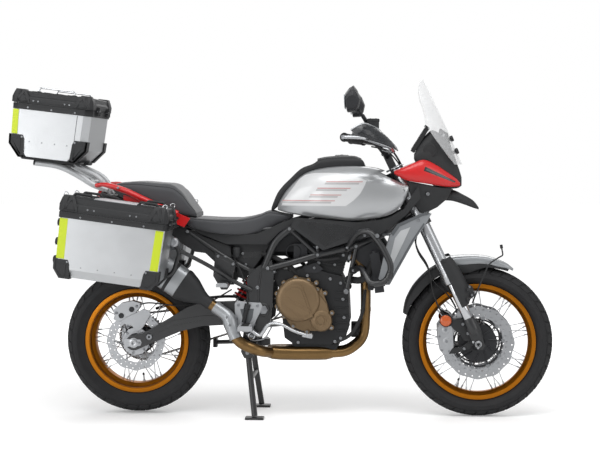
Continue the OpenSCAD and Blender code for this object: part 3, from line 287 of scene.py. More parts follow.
def material(name, colour, rough=0.5, metal=0.0, vary=0.12, grain=900.0, bump=0.15, stretch=(1, 1,
        1), coat=0.0, mottle=14.0, spread=0.1, alpha=1.0, sheen=0.0, kind="noise"):
    """Colour and roughness wander over 1/mottle m, and a grain 1/grain m wide gives bump."""
    m = bpy.data.materials.new(name)
    m.use_nodes = True
    t = m.node_tree
    b = t.nodes["Principled BSDF"]
    col = rgb(colour) if isinstance(colour, str) else list(colour)
    for key, value in (("Metallic", metal), ("Coat Weight", coat), ("Coat Roughness", COAT_ROUGH),
                       ("Alpha", alpha), ("Sheen Weight", sheen)):
        b.inputs[key].default_value = value
    co = t.nodes.new("ShaderNodeTexCoord")
    mp = t.nodes.new("ShaderNodeMapping")
    mp.inputs["Scale"].default_value = stretch
    t.links.new(co.outputs["Object"], mp.inputs["Vector"])

    def noise(scale, detail=3.0, src=None):
        n = t.nodes.new("ShaderNodeTexNoise")
        n.inputs["Scale"].default_value = scale
        n.inputs["Detail"].default_value = detail
        t.links.new((src or mp).outputs[0 if src is None else "Object"], n.inputs["Vector"])
        return n.outputs["Fac"]
    big = noise(mottle, 5.0, co)
    if kind == "cells":
        g = t.nodes.new("ShaderNodeTexVoronoi")
        g.inputs["Scale"].default_value = grain
        t.links.new(mp.outputs[0], g.inputs["Vector"])
        fine = g.outputs["Distance"]
    else:
        fine = noise(grain, 2.0)
    mix = t.nodes.new("ShaderNodeMix")
    mix.data_type = "RGBA"
    mix.inputs["A"].default_value = [max(0, c * (1 - vary)) for c in col[:3]] + [1]
    mix.inputs["B"].default_value = [min(1, c * (1 + vary)) for c in col[:3]] + [1]
    add = t.nodes.new("ShaderNodeMath")
    add.operation = "MULTIPLY_ADD"
    add.inputs[1].default_value = FINE_SHARE
    t.links.new(fine, add.inputs[0])
    t.links.new(big, add.inputs[2])
    sub = t.nodes.new("ShaderNodeMath")
    sub.operation = "SUBTRACT"
    sub.inputs[1].default_value = FINE_SHARE_MEAN
    t.links.new(add.outputs[0], sub.inputs[0])
    t.links.new(sub.outputs[0], mix.inputs["Factor"])
    t.links.new(mix.outputs["Result"], b.inputs["Base Color"])
    rr = t.nodes.new("ShaderNodeMapRange")
    rr.inputs["To Min"].default_value = max(0.02, rough - spread)
    rr.inputs["To Max"].default_value = min(1, rough + spread)
    t.links.new(sub.outputs[0], rr.inputs["Value"])
    t.links.new(rr.outputs[0], b.inputs["Roughness"])
    if bump:
        bp = t.nodes.new("ShaderNodeBump")
        bp.inputs["Strength"].default_value = bump
        bp.inputs["Distance"].default_value = BUMP_DEPTH
        t.links.new(fine, bp.inputs["Height"])
        t.links.new(bp.outputs[0], b.inputs["Normal"])
    return m


M = {"frame": material("frame_paint", "1b1c1e", 0.38, 0.0, 0.2, 700, 0.12, coat=0.3),
     "alloy": material("cast_alloy", "a9abae", 0.42, 0.9, 0.1, 1100, 0.25),
     "steel": material("machined_steel", "b9bbbe", 0.3, 1.0, 0.08, 500, 0.1, (1, 12, 1)),
     "screw": material("screw_steel", "8b8d90", 0.34, 1.0, 0.12, 400, 0.1),
     "black": material("moulded_black", "1a1b1d", 0.62, 0.0, 0.18, 1500, 0.35, kind="cells"),
     "gloss": material("gloss_black", "141517", 0.28, 0.0, 0.15, 300, 0.03, coat=0.4),
     "dark": material("dark_cast", "222326", 0.5, 0.3, 0.2, 1300, 0.3),
     "bronze": material("bronze_paint", "77634a", 0.42, 0.65, 0.14, 1200, 0.25),
     "header": material("tinted_steel", "7d6340", 0.34, 0.95, 0.4, 200, 0.08, mottle=7.0,
                        spread=0.16), "tank": material("tank_silver", "abadaf", 0.3, 0.65, 0.03,
                                                       2500, 0.05, coat=0.8, spread=0.04),
     "tank2": material("tank_pale", "c9cacb", 0.4, 0.15, 0.05, 2500, 0.05, coat=0.7, spread=0.04),
     "stripe_grey": material("stripe_grey", "a9a9aa", 0.38, 0.15, 0.05, 2500, 0.03, coat=0.6),
     "stripe_red": material("stripe_red", "b98583", 0.36, 0.0, 0.05, 2500, 0.03, coat=0.6),
     "red": material("red_paint", "c01012", 0.34, 0.0, 0.06, 2500, 0.04, coat=0.25, spread=0.04),
     "shroud": material("shroud_grey", "85888b", 0.42, 0.35, 0.06, 1800, 0.12),
     "shroud2": material("shroud_dark", "55585b", 0.46, 0.3, 0.08, 1800, 0.12),
     "seat": material("seat_cover", "3b3c3f", 0.66, 0.0, 0.14, 520, 0.5, sheen=0.2, kind="cells"),
     "seat_side": material("seat_side", "2c2d30", 0.6, 0.0, 0.12, 420, 0.6, sheen=0.15,
                           kind="cells"), "screen": material("clear_screen", (0.86, 0.87, 0.88, 1),
        0.06, 0.0, 0.02, 60, 0.0, alpha=0.24, spread=0.02), "smoke": material("smoked", "2b2d30",
        0.2, 0.0, 0.1, 80, 0.0, alpha=0.75, spread=0.05), "lamp": material("lamp_red", "a01412",
        0.16, 0.0, 0.08, 90, 0.1, coat=0.8), "lamp_white": material("lamp_lens", "e8eaee", 0.15,
        0.0, 0.04, 90, 0.05, coat=0.8), "orange": material("amber_lens", "b84e08", 0.2, 0.0, 0.06,
        90, 0.1, coat=0.8), "rubber": material("rubber", "1e1e1f", 0.82, 0.0, 0.16, 700, 0.3),
     "tyre": material("tyre_rubber", "18181a", 0.8, 0.0, 0.16, 600, 0.3, mottle=30),
     "rim": material("gold_anodised", "a8660f", 0.36, 0.85, 0.1, 900, 0.12),
     "disc": material("disc_steel", "a7a9ac", 0.3, 1.0, 0.1, 260, 0.12, spread=0.12),
     "chain": material("chain_steel", "55504a", 0.42, 0.9, 0.3, 800, 0.3),
     "case": material("brushed_case", "b9bbbd", 0.34, 0.9, 0.06, 420, 0.12, (1, 1, 26),
                      spread=0.08), "lidplate": material("lid_plate", "8f9194", 0.42, 0.8, 0.08,
        420, 0.15, (1, 26, 1)), "rack": material("rack_grey", "b4b6b8", 0.42, 0.4, 0.08, 900, 0.12),
     "yellow": material("reflex_yellow", "b4c414", 0.4, 0.0, 0.06, 1400, 0.12),
     "silver": material("silver_paint", "9a9da0", 0.36, 0.6, 0.08, 1500, 0.1, coat=0.3),
     "fork": material("fork_black", "202124", 0.3, 0.5, 0.15, 600, 0.06, coat=0.3),
     "fork_silver": material("fork_silver", "b9bbbe", 0.27, 0.9, 0.06, 500, 0.06, (14, 14, 1),
                             spread=0.06), "fender": material("fender_silver", "8f9295", 0.34, 0.45,
        0.06, 2000, 0.08, coat=0.5), "chrome": material("slider_chrome", "c4c6c9", 0.12, 1.0, 0.04,
                                                        300, 0.02, spread=0.04),
     "mirror": material("mirror_glass", "9ea4aa", 0.05, 1.0, 0.02, 60, 0.0, spread=0.02),
     "engine": material("engine_black", "17181a", 0.55, 0.25, 0.2, 1400, 0.35),
     "core": material("radiator_core", "1c1d1f", 0.6, 0.4, 0.3, 900, 0.5, (1, 1, 3)),
     "glass": material("dash_glass", "0c0d10", 0.1, 0.0, 0.1, 60, 0.0, coat=0.7),
}
# What the frame's own pieces show where no detail replaces them
for slot_name, key in {"frame_black": "frame", "bar_black": "frame", "axle_steel": "steel",
                       "chain_steel": "chain", "shock_grey": "fork", "engine_black": "engine",
                       "cover_bronze": "bronze", "radiator_black": "core",
                       "header_bronze": "header", "silencer_black": "dark", "tank_silver": "tank",
                       "trim_black": "black", "seat_grey": "seat", "shroud_grey": "shroud",
                       "panel_red": "red", "screen_clear": "screen", "dash_black": "gloss",
                       "lamp_red": "lamp", "rack_grey": "rack", "peg_steel": "dark",
                       "case_silver": "case", "lid_black": "black", "fork_black": "fork",
                       "guard_silver": "silver", "fender_grey": "shroud2", "caliper_grey": "alloy",
                       "tyre": "tyre", "rim_gold": "rim", "hub_black": "dark",
                       "disc_steel": "disc",}.items():
    for sub in frame["record"]["subparts"]:
        if sub["material_slot"] == slot_name:
            ob = nodes[sub["node"]]
            ob.data.materials.clear()
            ob.data.materials.append(M[key])
            shade(ob, 32.0)

# ---------- Wheels ----------

def on_wheel(wheel_x, wheel_z):
    """Points on a wheel: angle, radius and distance to the left."""
    def place(p):
        return bike((wheel_x + p[1] * cos(p[0]), p[2], wheel_z + p[1] * sin(p[0])))
    return place


BLOCK_DEPTH = 6.5


def tyre(name, node, body, wheel_x, wheel_z, r, w, rim_r, rim_w, count, rear):
    """A tyre with a groove pattern of separate blocks on its crown."""
    t = Part()
    seat = rim_r - 13 + 0.3
    mid, half = (seat + r) / 2, (r - seat) / 2

    def crown(y):
        return mid + half * sqrt(max(0.02, 1 - (y / (w / 2)) ** 2))
    b = rim_w / 2 - 8
    side = [(rim_r - 11, b), (rim_r + 2, b + 1), (rim_r + 5, b + 5), (rim_r + 9, w * 0.40),
            (mid - 12, w * 0.462), (mid - 4, w * 0.492), (mid - 2.4, w * 0.496),
            (mid - 1, w * 0.49), (mid + 7, w * 0.492), (mid + 14, w * 0.474)]
    tread = [(crown(k * w) - 5.5, k * w * 0.98) for k in (0.44, 0.4, 0.34, 0.26, 0.17, 0.08)]
    profile = [(q, -y) for q, y in side + tread] + [(crown(0) - 5.5, 0)]
    profile += [(q, y) for q, y in (side + tread)[::-1]]
    t.lathe(profile, (wheel_x, 0, wheel_z), Y, 0, 128)
    t.at = on_wheel(wheel_x, wheel_z)
    pitch = 2 * pi / count

    def block(a0, a1, y0, y1, skew, cut):
        rings = []
        for i in range(cut + 1):
            y = y0 + (y1 - y0) * i / cut
            s = skew * (y - y0) * copysign(1, y1 - y0)
            top, low = crown(y) - 0.15, crown(y) - BLOCK_DEPTH
            y_low = y * 0.985
            rings.append([(a0 + s, low, y_low), (a0 + s + 0.004, top, y), (a1 + s - 0.004, top, y),
                          (a1 + s, low, y_low)])
        t.rings(rings, 1)
    for i in range(count):
        a = i * pitch
        for side_of in (1, -1):
            o = a + (pitch / 2 if side_of < 0 else 0)
            k = side_of * w / 110.0
            if rear:
                block(o, o + pitch * 0.80, 2 * k, 15 * k, 0.0022, 2)
                block(o + pitch * 0.2, o + pitch * 1.02, 18.5 * k, 33 * k, 0.0022, 3)
                block(o + pitch * 0.55, o + pitch * 1.4, 36.5 * k, 48.5 * k, 0.002, 3)
            else:
                block(o, o + pitch * 0.82, 1.6 * k, 14 * k, 0.0018, 2)
                block(o + pitch * 0.1, o + pitch * 0.93, 17.5 * k, 31 * k, 0.0018, 3)
                block(o + pitch * 0.35, o + pitch * 1.2, 34.5 * k, 48.5 * k, 0.0016, 3)
    return t.make(name, "tyre tyre", body, node, "tyre", smooth=34, weld=False)


def rim(name, node, body, wheel_x, wheel_z, r, w, depth):
    """A spoked wheel's rim with its valve."""
    t = Part()
    seat = r - 13
    h = w / 2
    base = seat - depth
    p = [(r, -h + 1), (r + 0.4, -h + 3.4), (r - 1, -h + 5), (seat, -h + 7), (seat - 3, -w / 4),
         (base + 7, -w / 5), (base + 7, w / 5), (seat - 3, w / 4), (seat, h - 7), (r - 1, h - 5),
         (r + 0.4, h - 3.4), (r, h - 1), (r - 2, h), (seat - 4, h - 0.4), (seat - 7, h - 3),
         (seat - 11, w * 0.3), (base + 2, w / 5 + 1), (base, w / 8), (base, -w / 8),
         (base + 2, -w / 5 - 1), (seat - 11, -w * 0.3), (seat - 7, -h + 3), (seat - 4, -h + 0.4),
         (r - 2, -h)]
    t.lathe(p, (wheel_x, 0, wheel_z), Y, 0, 144, closed=True)
    valve = radians(-115 if wheel_x else -83)
    c, s = cos(valve), sin(valve)
    t.tube([(wheel_x + q * c, 0, wheel_z + q * s) for q in (base + 2, base - 6, base - 8,
            base - 30)], [6, 6, 3.6, 3.6], 1, 16)
    t.cyl((wheel_x + (base - 28) * c, 0, wheel_z + (base - 28) * s),
          (wheel_x + (base - 38) * c, 0, wheel_z + (base - 38) * s), 4.6, 2, 16)
    return t.make(name, "rim steel rubber", body, node, "rim_gold", smooth=34)


def spokes(t, wheel_x, wheel_z, hub_r, hub_y, base, rim_y, m_wire, m_nipple, m_boss):
    """Crossed wires from the hub's flanges, with a nipple at the rim and a head at the hub."""
    step = 2 * pi / 9
    lean = radians(48)
    for i in range(9):
        for shift, turn, y0, y1 in ((0, lean, hub_y + 4, rim_y), (step / 2, -lean, hub_y - 4,
                rim_y), (step / 4, lean, -hub_y - 4, -rim_y), (step * 3 / 4, -lean, -hub_y + 4,
                -rim_y)):
            a = i * step + shift
            p = Vector((wheel_x + hub_r * cos(a), y0, wheel_z + hub_r * sin(a)))
            q = Vector((wheel_x + base * cos(a + turn), y1, wheel_z + base * sin(a + turn)))
            d = (q - p).normalized()
            t.tube([p, q], 2.0, m_wire, 8)
            t.tube([q - d * 17, q - d * 15, q - d * 1], [2.6, 3.6, 3.6], m_nipple, 8)
            out = copysign(1, y0)
            t.cyl(p + Vector((0, -out * 1.5, 0)), p + Vector((0, out * 3.2, 0)), 4.2, m_boss, 10)


def perforated(t, wheel_x, wheel_z, y, thick, r0, r1, cells, rows, hole, wave, petals):
    """A brake band in which every other cell holds a drilled hole; the edges wave."""
    def radius(k, a):
        q = r0 + (r1 - r0) * k / rows
        if k == rows:
            q += wave / 2 * cos(petals * a) - wave / 2
        if k == 0:
            q += wave / 3 * cos(petals * a)
        return q
    da = 2 * pi / cells
    for i in range(cells):
        for k in range(rows):
            a0, a1 = i * da, (i + 1) * da
            am = (a0 + a1) / 2
            edge = [(a0, k), (am, k), (a1, k), (a1, k + 0.5), (a1, k + 1), (am, k + 1), (a0, k + 1),
                    (a0, k + 0.5)]

            def pt(a, kk):
                lo_k, hi_k = int(kk), ceil(kk)
                q = (radius(lo_k, a) + radius(hi_k, a)) / 2
                return wheel_x + q * cos(a), wheel_z + q * sin(a)
            outer = [pt(a, kk) for a, kk in edge]
            if (i + k) % 2:
                v = [(x, yy, z) for yy in (y - thick / 2, y + thick / 2) for x, z in outer]
                t.add(v, [tuple(range(8))[::-1], tuple(range(8, 16))])
                wall = [(4, 5), (5, 6)] if k == rows - 1 else []
                wall += [(0, 1), (1, 2)] if k == 0 else []
                t.add(v, [(p, q, q + 8, p + 8) for p, q in wall])
                continue
            qm = (radius(k, am) + radius(k + 1, am)) / 2
            cx, cz = wheel_x + qm * cos(am), wheel_z + qm * sin(am)
            inner = []
            for x, z in outer:
                d = hypot(x - cx, z - cz)
                inner.append((cx + (x - cx) / d * hole, cz + (z - cz) / d * hole))
            v = [(x, yy, z) for yy in (y - thick / 2, y + thick / 2) for x, z in outer + inner]
            f = []
            for j in range(8):
                j2 = (j + 1) % 8
                f += [(j, j + 8, j2 + 8, j2), (16 + j, 16 + j2, 24 + j2, 24 + j),
                      (8 + j, 24 + j, 24 + j2, 8 + j2)]
            wall = [(4, 5), (5, 6)] if k == rows - 1 else []
            wall += [(0, 1), (1, 2)] if k == 0 else []
            f += [(p, q, q + 16, p + 16) for p, q in wall]
            t.add(v, f)


tyre("front_tyre_tread", "front_tyre", "front_wheel", WHEELBASE, FRONT_R, FRONT_R, 110, 254, 76, 40,
     False)
tyre("rear_tyre_tread", "rear_tyre", "rear_wheel", 0, REAR_Z, REAR_R, 150, 230, 124, 36, True)
rim("front_rim_detail", "front_rim", "front_wheel", WHEELBASE, FRONT_R, 254, 76, 20)
rim("rear_rim_detail", "rear_rim", "rear_wheel", 0, REAR_Z, 230, 124, 27)

t = Part()
o = (WHEELBASE, 0, FRONT_R)
for s in (-1, 1):
    t.lathe([(r, s * y) for r, y in (
        (10.6, 65), (18, 65.4), (44, 65), (46, 63), (46, 56), (34, 50), (30, 40), (56, 38),
        (57, 36), (57, 28), (55, 26), (30, 24), (26, 16), (24, 0))], o, Y, 0, 48)
for i in range(6):
    a = i * pi / 3 + 0.2
    for s in (-1, 1):
        t.bolt((WHEELBASE + 37 * cos(a), s * 65, FRONT_R + 37 * sin(a)), (0, s, 0), 4.6, 2, 3)
spokes(t, WHEELBASE, FRONT_R, 50, 32, 221.3, 8, 1, 1, 1)
t.make("front_hub_detail", "dark steel screw", "front_wheel", "front_hub", "hub_black")

t = Part()
o = (0, 0, REAR_Z)
prof = [(10.6, -79), (16, -79.2), (48, -79), (50, -77), (50, -70), (38, -64), (34, -42), (66, -40),
        (67, -38), (67, -30), (64, -28), (36, -26), (31, -16), (30, 0)]
t.lathe(prof, o, Y, 0, 48)
t.lathe([(r, -y * (95.6 / 79 if y < -60 else 1)) for r, y in prof], o, Y, 0, 48)
t.make("rear_hub_body", "dark", "rear_wheel", (), "hub_black")
t = Part()
spokes(t, 0, REAR_Z, 60, 34, 190.3, 12, 0, 0, 0)
t.make("rear_spokes", "steel", "rear_wheel", "rear_hub", "hub_black")

t = Part()
for s in (-1, 1):
    perforated(t, WHEELBASE, FRONT_R, s * FRONT_DISC_Y, 4.4, 112, 160, 60, 2, 3.6, 5.0, 12)
    for i in range(10):
        a = i * pi / 5 + 0.1
        x0, z0 = WHEELBASE + 46 * cos(a + 0.25), FRONT_R + 46 * sin(a + 0.25)
        x1, z1 = WHEELBASE + 104 * cos(a), FRONT_R + 104 * sin(a)
        t.tube([(x0, s * (FRONT_DISC_Y - 1), z0), (x1, s * FRONT_DISC_Y, z1)], [7, 5.5], 1, 8,
               flat=0.5)
        t.cyl((WHEELBASE + 109 * cos(a), s * (FRONT_DISC_Y - 2.4), FRONT_R + 109 * sin(a)),
              (WHEELBASE + 109 * cos(a), s * (FRONT_DISC_Y + 2.4), FRONT_R + 109 * sin(a)), 8.5, 2,
              20)
    t.washer(32, 84, s * (FRONT_DISC_Y - 2.2), s * (FRONT_DISC_Y + 1.8), (WHEELBASE, 0, FRONT_R), Y,
             1, 40)
    t.washer(99, 107, s * (FRONT_DISC_Y - 2), s * (FRONT_DISC_Y + 2), (WHEELBASE, 0, FRONT_R), Y, 1,
             60)
t.make("front_discs_detail", "disc dark screw", "front_wheel", "front_discs", "disc_steel",
       smooth=30)

t = Part()
perforated(t, 0, REAR_Z, -REAR_DISC_Y, 4.8, 92, 130, 54, 2, 3.4, 4.0, 12)
for i in range(6):
    a = i * pi / 3
    t.tube([(56 * cos(a + 0.3), -REAR_DISC_Y, REAR_Z + 56 * sin(a + 0.3)),
            (96 * cos(a), -REAR_DISC_Y, REAR_Z + 96 * sin(a))], [14, 11], 0, 8, flat=0.17)
    t.bolt((50 * cos(a + 0.3), -REAR_DISC_Y - 2, REAR_Z + 50 * sin(a + 0.3)), (0, -1, 0), 5, 1, 4)
t.washer(36, 60, -REAR_DISC_Y - 2.4, -REAR_DISC_Y + 2.4, o, Y, 0, 48)
t.make("rear_disc_detail", "disc screw", "rear_wheel", "rear_disc", "disc_steel", smooth=30)

# ---------- Tank, seats and bodywork ----------

def bulge(z0, z1, w, wb, wt, m=0.5, n=8):
    """Half a section as (half width, z), widest at the share m of its height."""
    low = [(wb + (w - wb) * sin(a), z0 + (z1 - z0) * m * (1 - cos(a)))
           for a in (pi / 2 * i / n for i in range(n + 1))]
    return low + [(wt + (w - wt) * cos(a), z0 + (z1 - z0) * (m + (1 - m) * sin(a)))
                  for a in (pi / 2 * i / n for i in range(1, n + 1))]


def side_at(row, z, m):
    """Half width of a bulge section at height z."""
    z0, z1, w, wb, wt = row
    q = min(0.999, max(0.001, (z - z0) / (z1 - z0)))
    if q < m:
        return wb + (w - wb) * sin(acos(1 - q / m))
    return wt + (w - wt) * cos(asin((q - m) / (1 - m)))


def half_ring(x, half):
    return [(x, y, z) for y, z in half] + [(x, -y, z) for y, z in half[::-1]]


def spline(rows, k=4):
    """Rows of numbers with k steps between each pair, on a smooth curve through them."""
    out = []
    for i in range(len(rows) - 1):
        a, b, c, d = rows[max(0, i - 1)], rows[i], rows[i + 1], rows[min(len(rows) - 1, i + 2)]
        for j in range(k):
            t = j / k
            out.append([0.5 * (2 * q + (r - p) * t + (2 * p - 5 * q + 4 * r - s) * t * t
                               + (3 * q - p - 3 * r + s) * t ** 3) for p, q, r, s in zip(a, b, c,
                    d)])
    return out + [list(rows[-1])]


def loft(sections, m, k):
    """sections: x, bottom, top, half width, half width below, half width on top."""
    t = Part()
    t.rings([half_ring(s[0], bulge(*s[1:6], m=m)) for s in spline(sections, k)])
    return t


def patch(t, rows, share, quad, offset, m=0, nu=16, nv=4):
    """A decal on a lofted side: quad is four (x, z) corners."""
    a, b, c, d = [Vector(q) for q in quad]
    xs = [r[0] for r in rows]

    def width(x, z):
        i = max(0, min(len(xs) - 2, max(j for j in range(len(xs)) if xs[j] <= max(x, xs[0]))))
        u = min(1, max(0, (x - xs[i]) / (xs[i + 1] - xs[i])))
        row = [p + (q - p) * u for p, q in zip(rows[i], rows[i + 1])]
        return side_at(row[1:6], z, row[6] if len(row) > 6 else share)
    for s in (1, -1):
        v = []
        for i in range(nu + 1):
            for j in range(nv + 1):
                p = a.lerp(b, i / nu).lerp(d.lerp(c, i / nu), j / nv)
                v.append((p[0], s * (width(p[0], p[1]) + offset), p[1]))
        f = [(i * (nv + 1) + j, (i + 1) * (nv + 1) + j, (i + 1) * (nv + 1) + j + 1,
              i * (nv + 1) + j + 1) for i in range(nu) for j in range(nv)]
        t.add(v, f, m)


tank_rows = [
    [628, 905, 930, 76, 68, 58, 0.5], [665, 895, 992, 102, 90, 54, 0.4],
    [740, 882, 1062, 136, 116, 60, 0.42], [830, 872, 1090, 160, 132, 76, 0.46],
    [950, 862, 1098, 178, 142, 90, 0.52], [1050, 872, 1090, 184, 146, 98, 0.54],
    [1120, 890, 1066, 178, 146, 100, 0.56], [1170, 925, 1042, 162, 142, 106, 0.56],
    [1196, 960, 1032, 148, 134, 116, 0.55], [1204, 985, 1026, 138, 130, 118, 0.5]]
fine_tank = spline(tank_rows, 5)
t = Part()
t.rings([half_ring(s[0], bulge(*s[1:6], m=s[6], n=10)) for s in fine_tank])
steering_room(t.make("fuel_tank_shell", "tank", of="fuel_tank", slot="tank_silver", smooth=30),
              FORK_SWEEP, RISER_SWEEP)
t = Part()
field = [(926, 646, 928), (950, 655, 962), (978, 676, 990), (1006, 698, 1006), (1036, 720, 1019),
         (1048, 732, 985), (1060, 748, 950), (1068, 790, 890)]
for (z0, a0, b0), (z1, a1, b1) in zip(field, field[1:]):
    patch(t, fine_tank, 0.5, [(a0, z0), (b0, z0), (b1, z1), (a1, z1)], 0.5, nu=40, nv=5)
t.make("tank_side_field", "tank2", slot="tank_silver")
t = Part()
for x0, x1, z in ((842, 1000, 1031), (804, 948, 1003), (773, 908, 974), (648, 880, 949)):
    patch(t, fine_tank, 0.5, [(x0, z - 2.2), (x1, z - 2.2), (x1 + 3, z + 1.4), (x0 + 3, z + 1.4)],
          1.1, 0, 20, 2)
    patch(t, fine_tank, 0.5, [(x0 - 6, z - 12), (x1 - 16, z - 12), (x1 - 13, z - 4.6),
                              (x0 - 2, z - 4.6)], 1.0, 1, 20, 2)
t.make("tank_stripes", "stripe_red stripe_grey", slot="tank_silver")
t = Part()
for s in (1, -1):
    y = s * (side_at(fine_tank[36][1:6], 992, fine_tank[36][6]) - 6)
    t.lathe([(6, y + s * 9), (8.4, y + s * 9), (9, y + s * 8), (9, y), (6, y)], (1176, 0, 992), Y,
            0, 28, closed=True)
t.make("tank_rings", "stripe_grey", slot="tank_silver")

cover_rows = [[600, 902, 918, 74, 72, 60], [622, 922, 974, 68, 64, 52], [648, 960, 1010, 64, 60,
        48], [678, 998, 1040, 62, 58, 46], [728, 1050, 1086, 64, 60, 48], [780, 1076, 1107, 66, 62,
        50], [816, 1083, 1127, 66, 62, 50], [900, 1085, 1135, 68, 64, 52], [984, 1085, 1130, 68, 64,
        52], [1008, 1080, 1098, 60, 56, 48]]
loft(cover_rows, 0.6, 5).make("tank_spine", "black", of="tank_cover", slot="trim_black", smooth=34)
t = Part()
ridge = [[800, 1112, 1131], [840, 1118, 1139], [900, 1122, 1143], [960, 1122, 1142],
         [990, 1112, 1131]]
t.rings([half_ring(s[0], bulge(s[1], s[2], 50, 50, 40, 0.6, 4)) for s in spline(ridge, 5)])
t.lathe([(0.1, 1146), (27, 1146), (30, 1144.5), (31, 1140), (31, 1130)], (905, 0, 0), Z, 1, 40)
t.bolt((905, 0, 1145), Z, 7, 2, 3)
for a in range(6):
    t.bolt((905 + 24 * cos(a * pi / 3), 24 * sin(a * pi / 3), 1145), Z, 2.6, 2, 1.6)
t.make("tank_ridge", "gloss dark screw", slot="trim_black", bevel=0.0008)


def cushion(name, rows, node, seams, look):
    """A padded seat: smooth top, a piped seam along its upper edge and sewn channels across."""
    t = Part()
    fine = spline(rows, 6)
    rings = []
    for s in fine:
        half = bulge(*s[1:6], m=0.7, n=10)
        sink = sum(2.4 * exp(-((s[0] - q) / 5.0) ** 2) for q in seams)
        ring = []
        for y, z in half:
            q = (z - s[1]) / (s[2] - s[1])
            top = max(0.0, (q - 0.72) / 0.28)
            ring.append((y, z - sink * top))
        rings.append(half_ring(s[0], ring))
    t.rings(rings)
    ob = t.make(name, look, of=node, slot="seat_grey", smooth=60)
    t = Part()
    for side in (1, -1):
        line = []
        for s in fine:
            half = bulge(*s[1:6], m=0.7, n=10)
            y, z = half[14]
            line.append((s[0], side * (y + 0.6), z + 0.4))
        t.tube(line[2:-2], 1.7, 0, 8)
    t.make(name + "_piping", "seat_side", slot="seat_grey", smooth=60)


rider_rows = [[226, 846, 874, 120, 110, 96], [280, 822, 873, 142, 130, 112], [380, 804, 868, 150,
        138, 118], [470, 800, 870, 138, 126, 104], [540, 806, 885, 116, 104, 80], [590, 826, 903,
        96, 86, 60], [636, 850, 892, 84, 76, 54], [686, 868, 883, 74, 68, 52]]
cushion("rider_seat_pad", rider_rows, "rider_seat", (268, 452, 560), "seat")
pillion_rows = [[-98, 990, 1011, 84, 76, 66], [-60, 962, 1025, 112, 100, 84], [20, 930, 1030, 128,
        114, 94], [100, 908, 1024, 134, 120, 100], [168, 893, 1017, 136, 122, 102], [212, 886, 984,
        132, 118, 100], [247, 880, 934, 126, 112, 98], [276, 874, 893, 112, 104, 94]]
cushion("passenger_seat_pad", pillion_rows, "passenger_seat", (-20, 196), "seat")

DASH, DASH_TILT = (1246, 0, 1212), 32
# The nose: red panels round a dark cowl, a beak, a screen and a dash
nose_rows = [[1136, 1064, 1078, 172, 152, 146], [1180, 1040, 1096, 178, 158, 152],
             [1220, 1030, 1112, 176, 156, 150], [1262, 1024, 1125, 166, 146, 138],
             [1310, 1016, 1106, 146, 126, 118], [1360, 1008, 1074, 120, 100, 92], [1400, 1008, 1046,
        92, 74, 66], [1420, 1012, 1026, 74, 60, 56]]
fine_nose = spline(nose_rows, 5)
t = Part()
for side in (1, -1):
    rings = []
    for s in fine_nose:
        half = bulge(*s[1:6], m=0.5, n=8)
        inner = [(max(20, y - 11), z) for y, z in half[::-1]]
        rings.append([(s[0], side * y, z) for y, z in half + inner])
    t.rings(rings)
t.make("nose_shells", "red", of="nose_panels", slot="panel_red", smooth=40)
t = Part()
patch(t, fine_nose, 0.5, [(1262, 1078), (1396, 1026), (1400, 1032), (1268, 1096)], 0.6, 0, 20, 3)
patch(t, fine_nose, 0.5, [(1270, 1081), (1392, 1029.5), (1394, 1032.5), (1272, 1086)], 1.3, 1, 20,
      2)
t.make("side_lamps", "gloss shroud2", slot="panel_red")

cowl_rows = [[1222, 1128, 1150, 112, 104, 96], [1256, 1060, 1212, 116, 104, 70], [1288, 1030, 1248,
        116, 104, 58], [1310, 1010, 1251, 108, 96, 56], [1350, 1001, 1222, 92, 80, 52],
        [1382, 999, 1176, 70, 60, 44], [1412, 1002, 1098, 54, 44, 36], [1428, 1012, 1050, 42, 34,
        28]]
fine_cowl = spline(cowl_rows, 4)
t = Part()
c, s = cos(radians(DASH_TILT)), sin(radians(DASH_TILT))
rings = []
for row in fine_cowl:
    ring = []
    for x, y, z in half_ring(row[0], bulge(*row[1:6], m=0.4, n=8)):
        d = (x - DASH[0]) * c - (z - DASH[2]) * s
        if d < 10:
            x, z = x + (10 - d) * c, z - (10 - d) * s
        ring.append((x, y, z))
    rings.append(ring)
t.rings(rings)
steering_room(t.make("cowl_shell", "black", of="front_cowl", slot="trim_black", smooth=32),
              FORK_SWEEP)
t = Part()
for side in (1, -1):
    y = side * 106
    t.lathe([(0.1, y + side * 7), (27, y + side * 7), (30, y + side * 5.5), (31, y),
             (31, y - side * 10)], (1290, 0, 1166), Y, 0, 44)
    t.lathe([(21, y + side * 7.6), (23, y + side * 8.4), (25, y + side * 7.6)], (1290, 0, 1166), Y,
            0, 44)
    t.bolt((1262, side * 108, 1142), (0, side, 0), 6.5, 1, 6)
t.make("cowl_discs", "black screw", slot="trim_black", bevel=0.0006)
# Two lamps behind a lens in the nose
t = Part()
for side in (1, -1):
    t.lathe([(0.1, 10), (14, 9), (20, 5), (23, 0), (23, -14)], (1404, side * 25, 1090),
            (0.85, 0, 0.5), 0, 36)
    t.lathe([(23, 4), (26, 3), (27, -2), (27, -16)], (1404, side * 25, 1090), (0.85, 0, 0.5), 1, 36)
t.lathe([(0.1, 6), (9, 5), (13, 0), (13, -8)], (1420, 0, 1046), (0.95, 0, 0.3), 0, 28)
t.make("headlamps", "lamp_white gloss", slot="trim_black")

